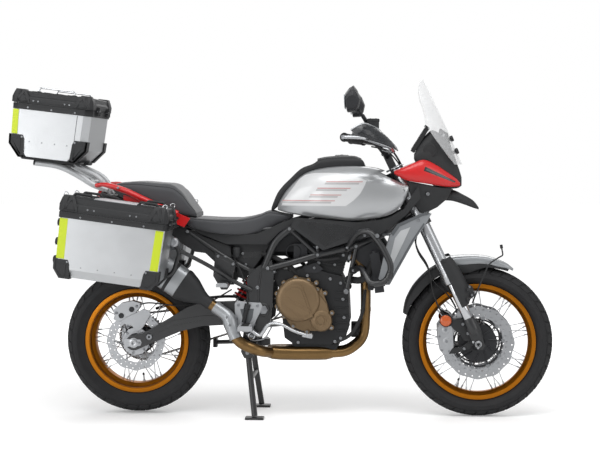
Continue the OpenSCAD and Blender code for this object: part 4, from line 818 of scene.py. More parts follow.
screen_rows = [[1104, 1432, 1400, 84], [1180, 1400, 1340, 128], [1262, 1364, 1284, 150],
               [1334, 1330, 1268, 150], [1400, 1300, 1246, 132], [1450, 1276, 1244, 92],
               [1474, 1264, 1254, 40]]
fine_screen = spline(screen_rows, 5)
t = Part()
rings = []
for z, xm, xe, w in fine_screen:
    us = [2 * k / 24 - 1 for k in range(25)]
    rings.append([(xm - (xm - xe) * u * u, w * u, z) for u in us]
                 + [(xm - 4 - (xm - xe) * u * u, w * u, z) for u in us[::-1]])
t.rings(rings)
t.make("screen_pane", "screen", of="windscreen", slot="screen_clear", smooth=50)
t = Part()
for side in (1, -1):
    t.plate([(1352, 1180), (1372, 1150), (1384, 1170), (1366, 1240), (1334, 1262), (1326, 1230)],
            side * 44 - 2.5, side * 44 + 2.5, 0)
    t.tube([(1330, side * 46, 1196), (1352, side * 46, 1236)], 6, 1, 12)
for side in (1, -1):
    for z in (1214, 1160):
        x = 1400 - (z - 1180) * 0.42
        t.lathe([(0.1, 14), (11, 14), (13, 12), (13, 3), (7, 2), (7, -18)], (x - 8, side * 44, z),
                (0.92, 0, 0.38), 0, 24)
t.make("screen_mounts", "black steel", slot="trim_black", bevel=0.001)

t = Part(tilted(DASH, DASH_TILT))
t.box((-9, -92, -62), (9.8, 92, 62), 0)
t.box((-11, -84, -54), (-8.4, 84, 54), 1)
t.box((-15, -96, 60), (9, 96, 66), 0)
t.make("dash_unit", "gloss glass", of="instrument_panel", slot="dash_black", bevel=0.002)
t = Part(tilted(DASH, DASH_TILT))
for a in range(21):
    q = radians(-120 + a * 12)
    y, z = 34 * sin(q), 34 * cos(q)
    y2, z2 = (28 if a % 5 else 24) * sin(q), (28 if a % 5 else 24) * cos(q)
    t.tube([(-11.3, y, z), (-11.3, y2, z2)], 0.8, 0, 6)
for k in range(5):
    t.box((-11.6, 48, -34 + k * 15), (-11, 48 + 26 - k * 3, -28 + k * 15), 0)
    t.box((-11.6, -74, -34 + k * 15), (-11, -74 + 16 + k * 2, -28 + k * 15), 0)
t.make("dash_marks", "lamp_white", slot="dash_black")

beak_rows = [[1340, 948, 972, 70, 62, 44], [1388, 946, 993, 66, 58, 36], [1440, 930, 971, 56, 50,
        30], [1480, 915, 947, 40, 35, 20], [1504, 908, 917, 19, 16, 11]]
t = loft(beak_rows, 0.3, 6)
for s in (-1, 1):
    t.cyl((1382, s * 20, 970), (1382, s * 20, 997), 9)
t.make("beak_shell", "black", of="beak", slot="trim_black", smooth=34)

# Side panels with vents
t = Part()
top = [(690, 838), (716, 876), (800, 868), (975, 856), (1080, 868), (1120, 880), (1180, 916),
       (1214, 978), (1240, 1010), (1250, 960), (1190, 890), (1090, 812)]
notch = [(1018, 790), (990, 786), (960, 778)]
t.plate(top + notch + [(930, 768), (830, 735)], 158, 165, 0)
t.plate([(718, 842), (736, 864), (960, 838), (940, 806), (842, 754)], 165, 166.6, 1)
t.plate([(232, 838), (300, 800), (410, 757), (585, 757), (640, 812), (700, 848), (722, 876),
         (686, 866), (636, 848), (590, 824), (540, 804), (470, 798), (380, 802), (280, 820)], 96,
        124, 0)
t.plate([(140, 827), (224, 827), (303, 792), (407, 754), (424, 745), (437, 611), (383, 653),
         (314, 718), (270, 723), (198, 767), (153, 810)], 104, 112, 0)
t.plate([(440, 764), (598, 764), (574, 721), (487, 603), (456, 611)], 92, 100, 0)
t.plate([(466, 724), (556, 724), (540, 700), (478, 694)], 99, 101.4, 1)
t.bolts(((476, 716), (490, 668)), 100, 6, 3, 4)
for k in range(9):
    for j in range(4):
        x, z = 850 + k * 9 + j * 5, 828 - j * 9
        t.cyl((x, 166, z), (x, 167.4, z), 2.2, 2, 8)
t.bolts(((805, 748), (1010, 800), (1196, 960)), 165, 6, 3, 4)
for x, z in ((800, 858), (1000, 846)):
    t.cyl((x, 122, z), (x, 158, z), 7, 0)
t.mirror().make("side_covers", "black gloss dark screw", of="side_panels",
                slot="trim_black", bevel=0.0022, steps=3)
# A lower cowl between the tank and the nose
t = Part()
for side in (1, -1):
    rows = [[(1196, 152, 1030), (1214, 148, 940), (1250, 140, 900)],
            [(1290, 146, 1012), (1290, 140, 950), (1290, 128, 905)],
            [(1340, 122, 1004), (1336, 112, 960), (1322, 100, 920)],
            [(1384, 92, 999), (1376, 84, 975), (1364, 74, 955)]]
    v, f = [], []
    for off in (0, 5):
        for row in rows:
            v += [(x, side * (y - off), z) for x, y, z in row]
    for i in range(3):
        for j in range(2):
            a = i * 3 + j
            f += [(a, a + 1, a + 4, a + 3), (a + 12, a + 15, a + 16, a + 13)]
    rim_of = [0, 1, 2, 5, 8, 11, 10, 9, 6, 3]
    f += [(rim_of[i], rim_of[(i + 1) % 10], rim_of[(i + 1) % 10] + 12, rim_of[i] + 12)
          for i in range(10)]
    t.add(v, f, 0)
    t.bolt((1280, side * 144, 978), (0, side, 0), 8, 1, 6)
t.make("lower_cowl", "black screw", slot="trim_black", bevel=0.002)

# ---------- Frame and chassis ----------

def tubes_of(*tubes):
    """Tubes on the left, each (path, diameter, material), mirrored by the caller."""
    t = Part()
    for path, d, m in tubes:
        t.tube(path, d / 2, m, 16)
    return t


upper = rounded([(1158, 20, 975), (1000, 104, 900), (800, 112, 858), (684, 126, 826),
                 (618, 133, 768), (572, 133, 655)], 40, 6)
lower = rounded([(1200, 20, 890), (1085, 104, 800), (972, 126, 752), (806, 130, 714),
                 (695, 133, 680), (600, 133, 655)], 40, 6)
t = tubes_of((upper, 30, 0), (lower, 30, 0), ([(1000, 104, 900), (1085, 104, 800)], 22, 0),
         ([(684, 126, 826), (806, 130, 714)], 22, 0), ([(800, 112, 858), (806, 130, 714)], 18, 0),
         ([(974, 129, 752), (930, 128.2, 556)], 20, 0))
t.cyl((930, 118.4, 556), (930, 138, 556), 15, 0)
t.bolt((930, 138, 556), Y, 11, 1, 7)
t.bolt((618, 131, 640), Y, 9, 1, 10)
for p in ((806, 130, 714), (972, 126, 752), (684, 126, 826)):
    t.tube([(p[0], p[1] - 17, p[2]), (p[0], p[1] + 17.5, p[2])], 12, 0, 20)
    t.bolt((p[0], p[1] + 17, p[2]), Y, 7, 1, 5)
t.box((793, 104, 858), (836, 118, 897.5), 0)
t.box((530, 126, 284), (576, 154, 316), 0)
t.mirror()
for x, z, y in ((684, 826, 126), (618, 768, 130), (972, 752, 126), (604, 600, 128)):
    t.cyl((x, -y, z), (x, y, z), 11, 0)
for x, z, r in ((618, 640, 8), (570, 474, 10), (500, 285, 8)):
    t.cyl((x, -141, z), (x, 141, z), r, 1)
t.make("frame_tubes", "frame screw", of=(), slot="frame_black", smooth=40)
t = Part(fork)
t.lathe([(20, 604), (33, 604), (34, 606), (34, 618), (29, 622), (28, 640), (28, 770), (29, 784),
         (34, 788), (34, 800), (33, 802), (20, 802)], (STEER_X, 0, 0), Z, 0, 40)
t.make("head_tube", "frame", slot="frame_black")
t = Part()
plate = [(498, 610), (548, 664), (606, 690), (616, 640), (610, 500), (600, 420), (552, 380),
         (536, 300), (520, 262), (486, 262), (472, 290), (486, 400), (520, 452), (506, 520)]
t.plate(plate, 126, 140, 0)
t.lathe([(30, 139), (30, 143), (27, 146), (20, 146), (19, 143), (0.1, 143)], (570, 0, 474), Y, 0,
        36)
t.lathe([(20, 146.5), (17, 148), (0.1, 148)], (570, 0, 474), Y, 1, 6)
t.bolts(((545, 571), (590, 655), (500, 330), (528, 410)), 139.6, 8.5, 1, 6)
t.tube(rounded([(560, 141, 640), (548, 141, 560), (552, 141, 470), (520, 141, 330)], 30), 4, 0, 8)
t.mirror().make("pivot_plates", "frame screw", of="main_frame", slot="frame_black", bevel=0.0035,
                steps=3)

rail = rounded([(672, 84, 827), (440, 96, 812), (220, 100, 832), (0, 92, 928), (-150, 84, 974)], 60,
               6)
strut = rounded([(530, 114.7, 632), (400, 110, 700), (200, 100, 834)], 40, 6)
t = tubes_of((rail, 25, 0), (strut, 22, 0))
t.box((505, 100, 612), (548, 125.5, 652), 0)
for p in ((400, 700), (236, 812)):
    t.bolt((p[0], 121, p[1]), Y, 7, 1, 4)
t.mirror()
for x, z in ((440, 812), (220, 834), (-60, 946), (-112, 962), (-140, 971)):
    t.cyl((x, -92, z), (x, 92, z), 9, 0)
t.make("subframe_tubes", "frame screw", of="subframe", slot="frame_black", smooth=42)

# Swingarm with adjusters, caliper bracket and chain guard
def arc(c, r, a0, a1, n):
    """Points of an arc between two angles in degrees."""
    return [(c[0] + r * cos(radians(a0 + (a1 - a0) * i / n)),
             c[1] + r * sin(radians(a0 + (a1 - a0) * i / n))) for i in range(n + 1)]


right = arc((0, REAR_Z), 34, 120, 300, 12) \
    + [(105, 334), (211, 378), (300, 400), (430, 408), (570, 444)] \
    + arc((570, 474), 30, -60, 90, 8) + [(430, 509), (300, 505), (239, 484), (150, 430), (40, 366)]
left = arc((0, REAR_Z), 32, 100, 290, 12) + [(200, 358), (400, 408), (570, 444)] \
    + arc((570, 474), 30, -60, 90, 8) + [(400, 472), (200, 416)]


def clip(poly, x_max):
    """What lies behind x_max."""
    out = []
    for i, p in enumerate(poly):
        q = poly[(i + 1) % len(poly)]
        if p[0] <= x_max:
            out.append(p)
        if (p[0] - x_max) * (q[0] - x_max) < 0:
            u = (x_max - p[0]) / (q[0] - p[0])
            out.append((x_max, p[1] + (q[1] - p[1]) * u))
    return out


t = Part()
t.plate(clip(right, 458), -138, -100, 0)
t.plate(right, -124.6, -100, 0)
t.plate(clip(left, 458), 111, 138, 0)
t.plate(left, 111, 124.6, 0)
t.plate([(396, 412), (455, 412), (455, 468), (396, 468)], -101, 112, 0)
t.cyl((570, -102, 474), (570, 80, 474), 24, 0)
t.cyl((570, 78, 474), (570, 113, 474), 16, 0)
t.plate([(60, 352), (180, 402), (300, 426), (420, 436), (420, 448), (300, 446), (170, 424),
         (56, 366)], -140.2, -137.6, 0)
t.make("swingarm_beams", "frame", of="swingarm", slot="frame_black", bevel=0.006, steps=4,
       smooth=30)
t = Part()
for s, y in ((-1, -138), (1, 138)):
    t.plate([(-40, 306), (30, 312), (36, 326), (30, 340), (-40, 343), (-44, 326)],
            y - (3 if s < 0 else 0), y + (3 if s > 0 else 0), 0)
    t.bolt((26, y, 326), (0, s, 0), 4.5, 1, 7)
    t.cyl((-42, y - s * 6, REAR_Z), (-62, y - s * 6, REAR_Z), 4.5, 1, 12)
    t.lathe([(6, y - s * 1), (15, y - s * 1), (15, y + s * 2), (12, y + s * 8), (5, y + s * 8),
             (4.2, y - s * 10)], (70, 0, 352), Y, 1, 24)
t.plate([(18, 372), (36, 390), (70, 448), (64, 462), (36, 470), (4, 452), (-40, 436), (-62, 420),
         (-52, 402), (-16, 398), (0, 372)], -97, -89, 0)
t.make("axle_adjusters", "alloy screw", slot="axle_steel", bevel=0.0018)
t = Part()
half = [(-74, 412), (-38, 434), (2, 452), (22, 476), (6, 492), (-44, 480), (-88, 450), (-96, 424)]
t.plate(half, -104, -90, 0)
t.plate(half, -74, -62, 0)
t.plate([(-88, 450), (-44, 480), (6, 492), (22, 476), (26, 496), (-10, 506), (-60, 496),
         (-98, 462)], -104, -62, 0)
for x, z in ((-60, 440), (-14, 468)):
    t.lathe([(0.1, -108), (11, -108), (12, -106), (12, -100)], (x, 0, z), Y, 1, 24)
for x, z in ((-82, 452), (8, 482)):
    t.bolt((x, -104, z), (0, -1, 0), 6, 2, 5)
t.tube(rounded([(16, -98, 488), (60, -112, 500), (200, -120, 486), (330, -126, 500),
                (430, -118, 560)], 40, 5), 3.4, 3, 8)
t.make("rear_caliper", "alloy dark screw rubber", slot="axle_steel", bevel=0.002)
t = Part()
t.tube(rounded([(60, 100, 452), (200, 100, 494), (380, 100, 510), (440, 100, 508)], 60, 6), 13, 0,
       12, flat=0.5)
t.plate([(150, 392), (240, 424), (330, 448), (330, 456), (236, 436), (146, 404)], 126, 131, 0)
t.make("chain_guard", "black", slot="trim_black", bevel=0.001)
t = Part()
axle_end = 151
for s in (1, -1):
    t.lathe([(6, s * (axle_end - 3)), (9, s * (axle_end - 1)), (17 if s > 0 else 15,
            s * (axle_end - 1)), (18, s * (axle_end - 3)), (18, s * 138.6), (6, s * 138.6)],
            (0, 0, REAR_Z), Y, 0, 6 if s > 0 else 30, closed=True)
    t.lathe([(22, s * 138.4), (22, s * 141.5), (10, s * 141.5)], (0, 0, REAR_Z), Y, 0, 36)
t.washer(6, 9.6, -axle_end + 3, axle_end - 3, (0, 0, REAR_Z), Y, 0, 30)
t.cyl((0, -99.5, REAR_Z), (0, -85.5, REAR_Z), 15, 0)
t.cyl((0, 105, REAR_Z), (0, 110.5, REAR_Z), 15, 0)
t.make("rear_axle_detail", "steel", of="rear_axle", slot="axle_steel", bevel=0.0008)

# Chain and sprockets
SPROCKET = (645.0, 466.0)
d = hypot(SPROCKET[0], SPROCKET[1] - REAR_Z)
base = atan2(SPROCKET[1] - REAR_Z, SPROCKET[0])
lean = acos((103 - 41) / d)
loop = []
for i in range(200):
    a = base + lean + (2 * pi - 2 * lean) * i / 199
    loop.append((103 * cos(a), REAR_Z + 103 * sin(a)))
for i in range(60):
    a = base - lean + 2 * lean * i / 59
    loop.append((SPROCKET[0] + 41 * cos(a), SPROCKET[1] + 41 * sin(a)))
dist, total = [0.0], 0.0
for i in range(len(loop)):
    p, q = loop[i], loop[(i + 1) % len(loop)]
    total += hypot(q[0] - p[0], q[1] - p[1])
    dist.append(total)
links = int(round(total / CHAIN_PITCH / 2)) * 2


def along(s):
    """The point this far round the chain."""
    s %= total
    i = max(j for j in range(len(dist) - 1) if dist[j] <= s)
    p, q = loop[i], loop[(i + 1) % len(loop)]
    u = (s - dist[i]) / max(1e-9, dist[i + 1] - dist[i])
    return Vector((p[0] + (q[0] - p[0]) * u, 0, p[1] + (q[1] - p[1]) * u))


t = Part()
pins = [along(total * i / links) for i in range(links)]
for i in range(links):
    p, q = pins[i], pins[(i + 1) % links]
    dx = (q - p).normalized()
    up = Vector((-dx.z, 0, dx.x))
    half = [(-4.5, 3.2), (-1, 4.8), (3, 4.4), (7.9, 3.4), (12.9, 4.4), (16.9, 4.8), (20.4, 3.2)]
    outline = half + [(a, -b) for a, b in half[::-1]]
    gap = 6.4 if i % 2 else 4.6
    for s in (1, -1):
        y = 100 + s * gap
        v = [p + dx * a + up * b + Vector((0, yy, 0)) for yy in (y - 0.8, y + 0.8) for a,
             b in outline]
        n = len(outline)
        t.add(v, [tuple(range(n))[::-1], tuple(range(n, 2 * n))]
              + [(j, (j + 1) % n, (j + 1) % n + n, j + n) for j in range(n)], 0)
    t.tube([p + Vector((0, 92.4, 0)), p + Vector((0, 107.6, 0))], 2.4, 1, 8)
    t.tube([p + Vector((0, 95.6, 0)), p + Vector((0, 104.4, 0))], 4.6, 1, 10)
t.make("chain_links", "chain steel", of="drive_chain", slot="chain_steel", smooth=30, weld=False)


def sprocket(t, cx, cz, teeth, root, tip, inner, y0, y1, m=0, holes=0):
    """A toothed ring between y0 and y1."""
    n = teeth * 4
    out = [(tip if i % 4 == 1 else tip - 1.5 if i % 4 in (0, 2) else root) for i in range(n)]
    v = []
    for y in (y0, y1):
        for i in range(n):
            a = 2 * pi * i / n
            v.append((cx + out[i] * cos(a), y, cz + out[i] * sin(a)))
        for i in range(n):
            a = 2 * pi * i / n
            q = inner + (4 * cos(holes * a) if holes else 0)
            v.append((cx + q * cos(a), y, cz + q * sin(a)))
    f = []
    for i in range(n):
        k = (i + 1) % n
        f += [(i, k, n + k, n + i), (2 * n + i, 3 * n + i, 3 * n + k, 2 * n + k), (i, 2 * n + i,
                2 * n + k, k), (n + i, n + k, 3 * n + k, 3 * n + i)]
    t.add(v, f, m)


t = Part()
sprocket(t, 0, 325, 42, 96, 104, 76, 97.5, 102.5, 0, 6)
for i in range(6):
    a = i * pi / 3
    t.tube([(34 * cos(a), 100, REAR_Z + 34 * sin(a)), (80 * cos(a), 100, REAR_Z + 80 * sin(a))],
           [12, 9], 0, 8, flat=0.27)
    t.bolt((52 * cos(a), 102.4, REAR_Z + 52 * sin(a)), Y, 6, 1, 5)
t.washer(12, 44, 97.5, 102.5, (0, 0, REAR_Z), Y, 0, 48)
t.make("rear_sprocket_teeth", "steel screw", "rear_wheel", "rear_sprocket", "disc_steel", smooth=30)

# Shock with a coil spring
low_end, top_end = Vector((425, 0, 468)), Vector((608.5, 0, 757.5))
ax = (top_end - low_end).normalized()
side_v = Vector(Y)
up_v = ax.cross(side_v)
t = Part()
t.tube([low_end + ax * 4, low_end + ax * 60], 11, 1, 20)
t.tube([low_end + ax * 44, low_end + ax * 52], 34, 0, 32)
t.tube([low_end + ax * 52, low_end + ax * 196], 22, 0, 28)
t.tube([low_end + ax * 194, low_end + ax * 206], 34, 0, 32)
t.tube([low_end + ax * 206, low_end + ax * 322], 20, 0, 28)
coil = [low_end + ax * (56 + 134 * i / 150) + (side_v * cos(i * 0.27) + up_v * sin(i * 0.27)) * 29
        for i in range(151)]
t.tube(coil, 5.2, 2, 10)
for p in (low_end + ax * 12, top_end - ax * 12):
    t.cyl(p - side_v * 19, p + side_v * 19, 15, 0)
t.tube([Vector((470, -44, 640)), Vector((530, -44, 700))], 20, 0, 24)
t.make("shock_unit", "fork chrome red", of="rear_shock", slot="shock_grey")

# ---------- Engine and exhaust ----------

HEAD, HEAD_TILT = (830, 640), 14


def head_at(u, v):
    """A point (along, up) of the leaning cylinder, in side view."""
    c, s = cos(radians(HEAD_TILT)), sin(radians(HEAD_TILT))
    return (HEAD[0] + u * c + v * s, HEAD[1] - u * s + v * c)


t = Part()
t.plate([(652, 420), (640, 560), (604, 626), (604, 654), (630, 656), (690, 640), head_at(-80, -0.3),
         head_at(80, -0.3), (936, 560), (944, 420), (925, 345), (860, 322), (700, 322), (660, 350)],
        -112, 88, 0)
t.plate([(704, 424), (704, 560), (690, 640), head_at(-80, -0.3), head_at(80, -0.3), (936, 560),
         (944, 420), (925, 345), (860, 322), (704, 322)], 88, 112, 0)
for z in range(6):
    t.plate([(880, 380 + z * 34), (938, 384 + z * 32), (938, 389 + z * 32), (880, 385 + z * 34)],
            -117, 117, 0)
for x, z in ((905, 350), (880, 335), (720, 330), (690, 600), (760, 622), (920, 440), (915, 520),
             (905, 590), (860, 608)):
    for s in (1, -1):
        t.bolt((x, s * 112, z), (0, s, 0), 7, 1, 6)
t.lathe([(34, 946), (36, 950), (36, 1000), (33, 1006), (0.1, 1007)], (0, 44, 372), X, 2, 32)
t.plate([(690, 322), (900, 322), (884, 296), (706, 296)], -90, 60, 0)
for x in range(5):
    t.plate([(712 + x * 40, 298), (718 + x * 40, 298), (718 + x * 40, 290), (712 + x * 40, 290)],
            -84, 54, 0)
t.make("crankcase", "engine screw black", of="engine_block", slot="engine_black", bevel=0.0035,
       steps=3)
t = Part()
sprocket(t, SPROCKET[0], SPROCKET[1], 16, 34, 41, 12, 97, 103, 0)
t.cyl((SPROCKET[0], 87, SPROCKET[1]), (SPROCKET[0], 106, SPROCKET[1]), 13, 0)
t.lathe([(0.1, 109), (10, 109), (11, 106)], (SPROCKET[0], 0, SPROCKET[1]), Y, 1, 6)
t.make("front_sprocket", "steel screw", slot="disc_steel")

# Covers: a round dish, a lower boss and a raised panel, with screws round the rim
for s in (-1, 1):
    t = Part()

    def y(v):
        return s * (118 + v)
    ring = arc((721, 519), 97, 20, 236, 30) + [(690, 404), (740, 384)] \
        + arc((822, 428), 47, -110, 40, 12) + [(848, 500), (822, 570)]
    t.plate(ring, min(y(0), y(22)), max(y(0), y(22)), 0)
    t.lathe([(96, y(0)), (96, y(30)), (92, y(38)), (84, y(43)), (74, y(45)), (0.1, y(45.5))],
            (721, 0, 519), Y, 0, 72)
    t.lathe([(47, y(0)), (47, y(26)), (44, y(34)), (36, y(38)), (24, y(39)), (23, y(36)),
             (16, y(36)), (15, y(39)), (0.1, y(39.5))], (822, 0, 430), Y, 0, 48)
    bridge = [(760, 444), (800, 404), (858, 440), (846, 500), (800, 560), (742, 560)]
    t.plate(bridge, min(y(0), y(31)), max(y(0), y(31)), 0)
    d_shape = arc((712, 524), 62, 62, 214, 18) + [(672, 482), (752, 434), (788, 448), (770, 500)]
    t.plate(d_shape, min(y(40), y(50)), max(y(40), y(50)), 0)
    inner = [(712 + (x - 712) * 0.82, 518 + (z - 518) * 0.82) for x, z in d_shape]
    t.plate(inner, min(y(48), y(53)), max(y(48), y(53)), 0)
    t.plate([(668, 528), (676, 534), (776, 478), (770, 470)], min(y(50), y(55)), max(y(50), y(55)),
            0)
    for a in (28, 62, 96, 130, 164, 198, 230):
        x, z = 721 + 95 * cos(radians(a)), 519 + 95 * sin(radians(a))
        t.lathe([(0.1, y(27)), (10, y(27)), (10.5, y(25)), (10.5, y(0))], (x, 0, z), Y, 0, 20)
        t.bolt((x, y(27), z), (0, s, 0), 6.2, 1, 5)
    for x, z in ((700, 404), (760, 380), (866, 398), (868, 462), (838, 548), (800, 592)):
        t.lathe([(0.1, y(25)), (10, y(25)), (10.5, y(23)), (10.5, y(0))], (x, 0, z), Y, 0, 20)
        t.bolt((x, y(25), z), (0, s, 0), 6.2, 1, 5)
    if s > 0:
        t.lathe([(20, y(44)), (18, y(47)), (0.1, y(47))], (721, 0, 519), Y, 1, 30)
    t.make("clutch_cover" if s < 0 else "generator_cover", "bronze screw", of="engine_covers",
           slot="cover_bronze", bevel=0.0024, steps=3, smooth=34)

t = Part(tilted((HEAD[0], 0, HEAD[1]), HEAD_TILT))
t.box((-78, -96, 0), (78, 96, 62), 0)
for k in range(4):
    t.box((-81, -99, 8 + k * 14), (81, 99, 13 + k * 14), 0)
t.box((-86, -104, 62), (86, 104, 116), 0)
t.box((-80, -101, 114), (80, 101, 120), 0)
t.box((-74, -98, 118), (74, 98, 148), 0)
for sx in (-1, 1):
    for sy in (-1, 1):
        t.bolt((sx * 60, sy * 84, 148), Z, 7, 1, 5)
        t.bolt((sx * 66, sy * 104, 90), (0, sy, 0), 7, 1, 5)
for sy in (-1, 1):
    t.lathe([(0.1, sy * 110), (20, sy * 110), (24, sy * 107), (25, sy * 100)], (10, 0, 92), Y, 0,
            32)
    t.bolt((-30, sy * 99, 30), (0, sy, 0), 8, 1, 5)
    t.bolt((40, sy * 99, 40), (0, sy, 0), 6, 1, 5)
for sy in (-52, 52):
    t.tube([(-84, sy, 92), (-110, sy, 100), (-126, sy, 124)], 22, 2, 20)
t.make("cylinder_block", "engine screw rubber", of="cylinder_head", slot="engine_black",
       bevel=0.003, steps=3)
t = Part()
t.tube(rounded([(930, -92, 606), (996, -118, 600), (1030, -128, 640), (1054, -140, 700)], 34, 6),
       15, 0, 18)
t.tube(rounded([(720, -100, 612), (690, -116, 660), (620, -112, 700), (560, -100, 716)], 34, 6), 11,
       0, 16)
t.tube(rounded([(760, 100, 620), (720, 112, 668), (650, 110, 700)], 30, 6), 9, 0, 16)
t.tube(rounded([(880, -106, 330), (950, -112, 360), (1000, -96, 450), (1010, -90, 560)], 40, 6), 8,
       0, 14)
for p, a in (((948, -98, 604), (0.9, -0.3, 0)), ((1050, -138, 690), (0.3, -0.2, 0.9))):
    t.lathe([(16, -5), (17.4, -4), (17.4, 4), (16, 5)], p, a, 1, 24)
t.make("coolant_hoses", "rubber screw", slot="trim_black", smooth=60)

t = Part(tilted((1076, 0, 548), -8))
t.box((-13, -140, 4), (13, 140, 180), 0)
for s in (-1, 1):
    t.box((-20, min(s * 140, s * 164), 6), (20, max(s * 140, s * 164), 178), 1)
    t.tube([(0, s * 152, 176), (0, s * 152, 186)], 12, 1, 20)
for k in range(34):
    t.box((-14.4, -139, 8 + k * 5), (14.4, 139, 9.2 + k * 5), 2)
for k in range(18):
    y0 = -132 + k * 15.5
    t.box((13, y0, 6), (14.8, y0 + 2, 178), 2)
for s in (-1, 1):
    t.tube([(-20, s * 106, 176), (-22, s * 106, 248)], 7, 1, 12)
t.lathe([(60, 16), (62, 17), (62, 30), (60, 31)], (-36, 0, 92), X, 1, 40, closed=True)
t.make("radiator_core", "core dark screw", of="radiator", slot="radiator_black", bevel=0.0012)

# Exhaust: header pipes, a flattened collector and a link pipe with its shield
port, bend = head_at(86.3, 90), head_at(130, 90)
t = Part()
for s in (-1, 1):
    path = rounded([(port[0], s * 52, port[1]), (bend[0], s * 52, bend[1]), (1010, s * 50, 640),
                    (1012, s * 50, 480), (1006, s * 46, 340), (930, s * 40 - 30, 284),
                    (860, s * 36 - 40, 280)], 50, 7)
    t.tube(path, 21, 0, 22)
    t.tube([path[0] + Vector((1, 0, -0.3)), path[0] + Vector((12, 0, -3))], 30, 1, 24)
    t.tube([Vector((1011, s * 49, 470)), Vector((1011, s * 49, 452))], 22.6, 0, 22)
rows = []
for x, w, h, y, z in ((868, 52, 26, -42, 281), (840, 62, 32, -42, 280), (800, 72, 33, -43, 280),
                      (700, 74, 33, -43, 279), (640, 70, 33, -48, 280), (604, 56, 31, -66, 283),
                      (586, 36, 27, -86, 287)):
    rows.append([(x, y + w * copysign(abs(cos(a)) ** 0.7, cos(a)),
                  z + h * copysign(abs(sin(a)) ** 0.7, sin(a)))
                 for a in turns(32)])
t.rings(rows, 0)
link = rounded([(600, -96, 284), (552, -184, 300), (452, -184, 342), (423.3, -164.8, 446),
                (344, -164, 500)], 60, 8)
t.tube(link, 24, 0, 24)
t.make("exhaust_tubes", "header screw", of="exhaust_pipe", slot="header_bronze", smooth=50)
t = Part()
shield = rounded([(455, -186, 352), (432, -176, 408), (420, -166, 448), (360, -164, 490)], 50, 8)
t.tube(shield, [27 + 4 * sin(pi * i / (len(shield) - 1)) for i in range(len(shield))], 0, 26)
for p in (shield[6], shield[-6]):
    t.bolt((p[0], p[1] - 29, p[2]), (0, -1, 0), 5, 1, 4)
t.make("link_shield", "silver screw", slot="silencer_black", smooth=50)

s0, s1 = Vector((344, -164, 500)), Vector((-70, -160, 782))
dv = s1 - s0
tv = dv.normalized()
cv = tv.cross(Vector(Y))


def can(k, a, b, p=0.8):
    """A flattened ring round the can's axis, k of the way along it."""
    return [s0 + dv * k + Vector((0, a * copysign(abs(cos(q)) ** p, cos(q)), 0))
            + cv * b * copysign(abs(sin(q)) ** p, sin(q)) for q in turns(32)]


t = Part()
t.rings([can(0.0, 26, 26, p=1), can(0.06, 26, 26, p=1), can(0.1, 29, 32), can(0.2, 41, 58),
         can(0.27, 48, 69), can(0.29, 49.5, 71.5), can(0.31, 49.5, 71.5), can(0.312, 47.5, 69.5)],
        1)
t.rings([can(0.3, 47, 69), can(0.5, 47.5, 69.5), can(0.7, 47.5, 69.5), can(0.9, 47, 69)], 0)
t.rings([can(0.888, 47, 69), can(0.89, 49.5, 71.5), can(0.93, 49, 70), can(0.98, 42, 60),
         can(1.0, 37, 55), can(1.0, 24, 24, p=1), can(0.955, 22, 22, p=1)], 1)
t.rings([can(0.94, 21, 21, p=1), can(1.01, 22, 22, p=1), can(1.01, 20, 20, p=1), can(0.94, 19, 19,
        p=1)], 2)
for k in (0.4, 0.8):
    t.rings([can(k, 47.6, 69.6), can(k + 0.002, 48.6, 70.6), can(k + 0.028, 48.6, 70.6),
             can(k + 0.03, 47.6, 69.6)], 1)
t.make("silencer_can", "silver black steel", of="silencer", slot="silencer_black", bevel=0.0012,
       smooth=34)

# ---------- Luggage ----------

def plan(l, w, z, c=10.0, grow=0.0, x_in=0.0, y_out=0.0):
    """Outline of a case seen from above, with its upright corners bevelled by c."""
    a, b = l / 2 + grow - x_in, w + grow - y_out
    g = -grow
    return [(-a + c, g, z), (a - c, g, z), (a, g + c, z), (a, b - c, z), (a - c, b, z),
            (-a + c, b, z), (-a, b - c, z), (-a, g + c, z)]


def band(t, l, w, z0, z1, out, inner, c, m):
    """A belt round a case between two heights."""
    t.rings([plan(l, w, z0, c, out), plan(l, w, z1, c, out), plan(l, w, z1, max(2, c - 2), -inner),
             plan(l, w, z0, max(2, c - 2), -inner)], m, closed=True)


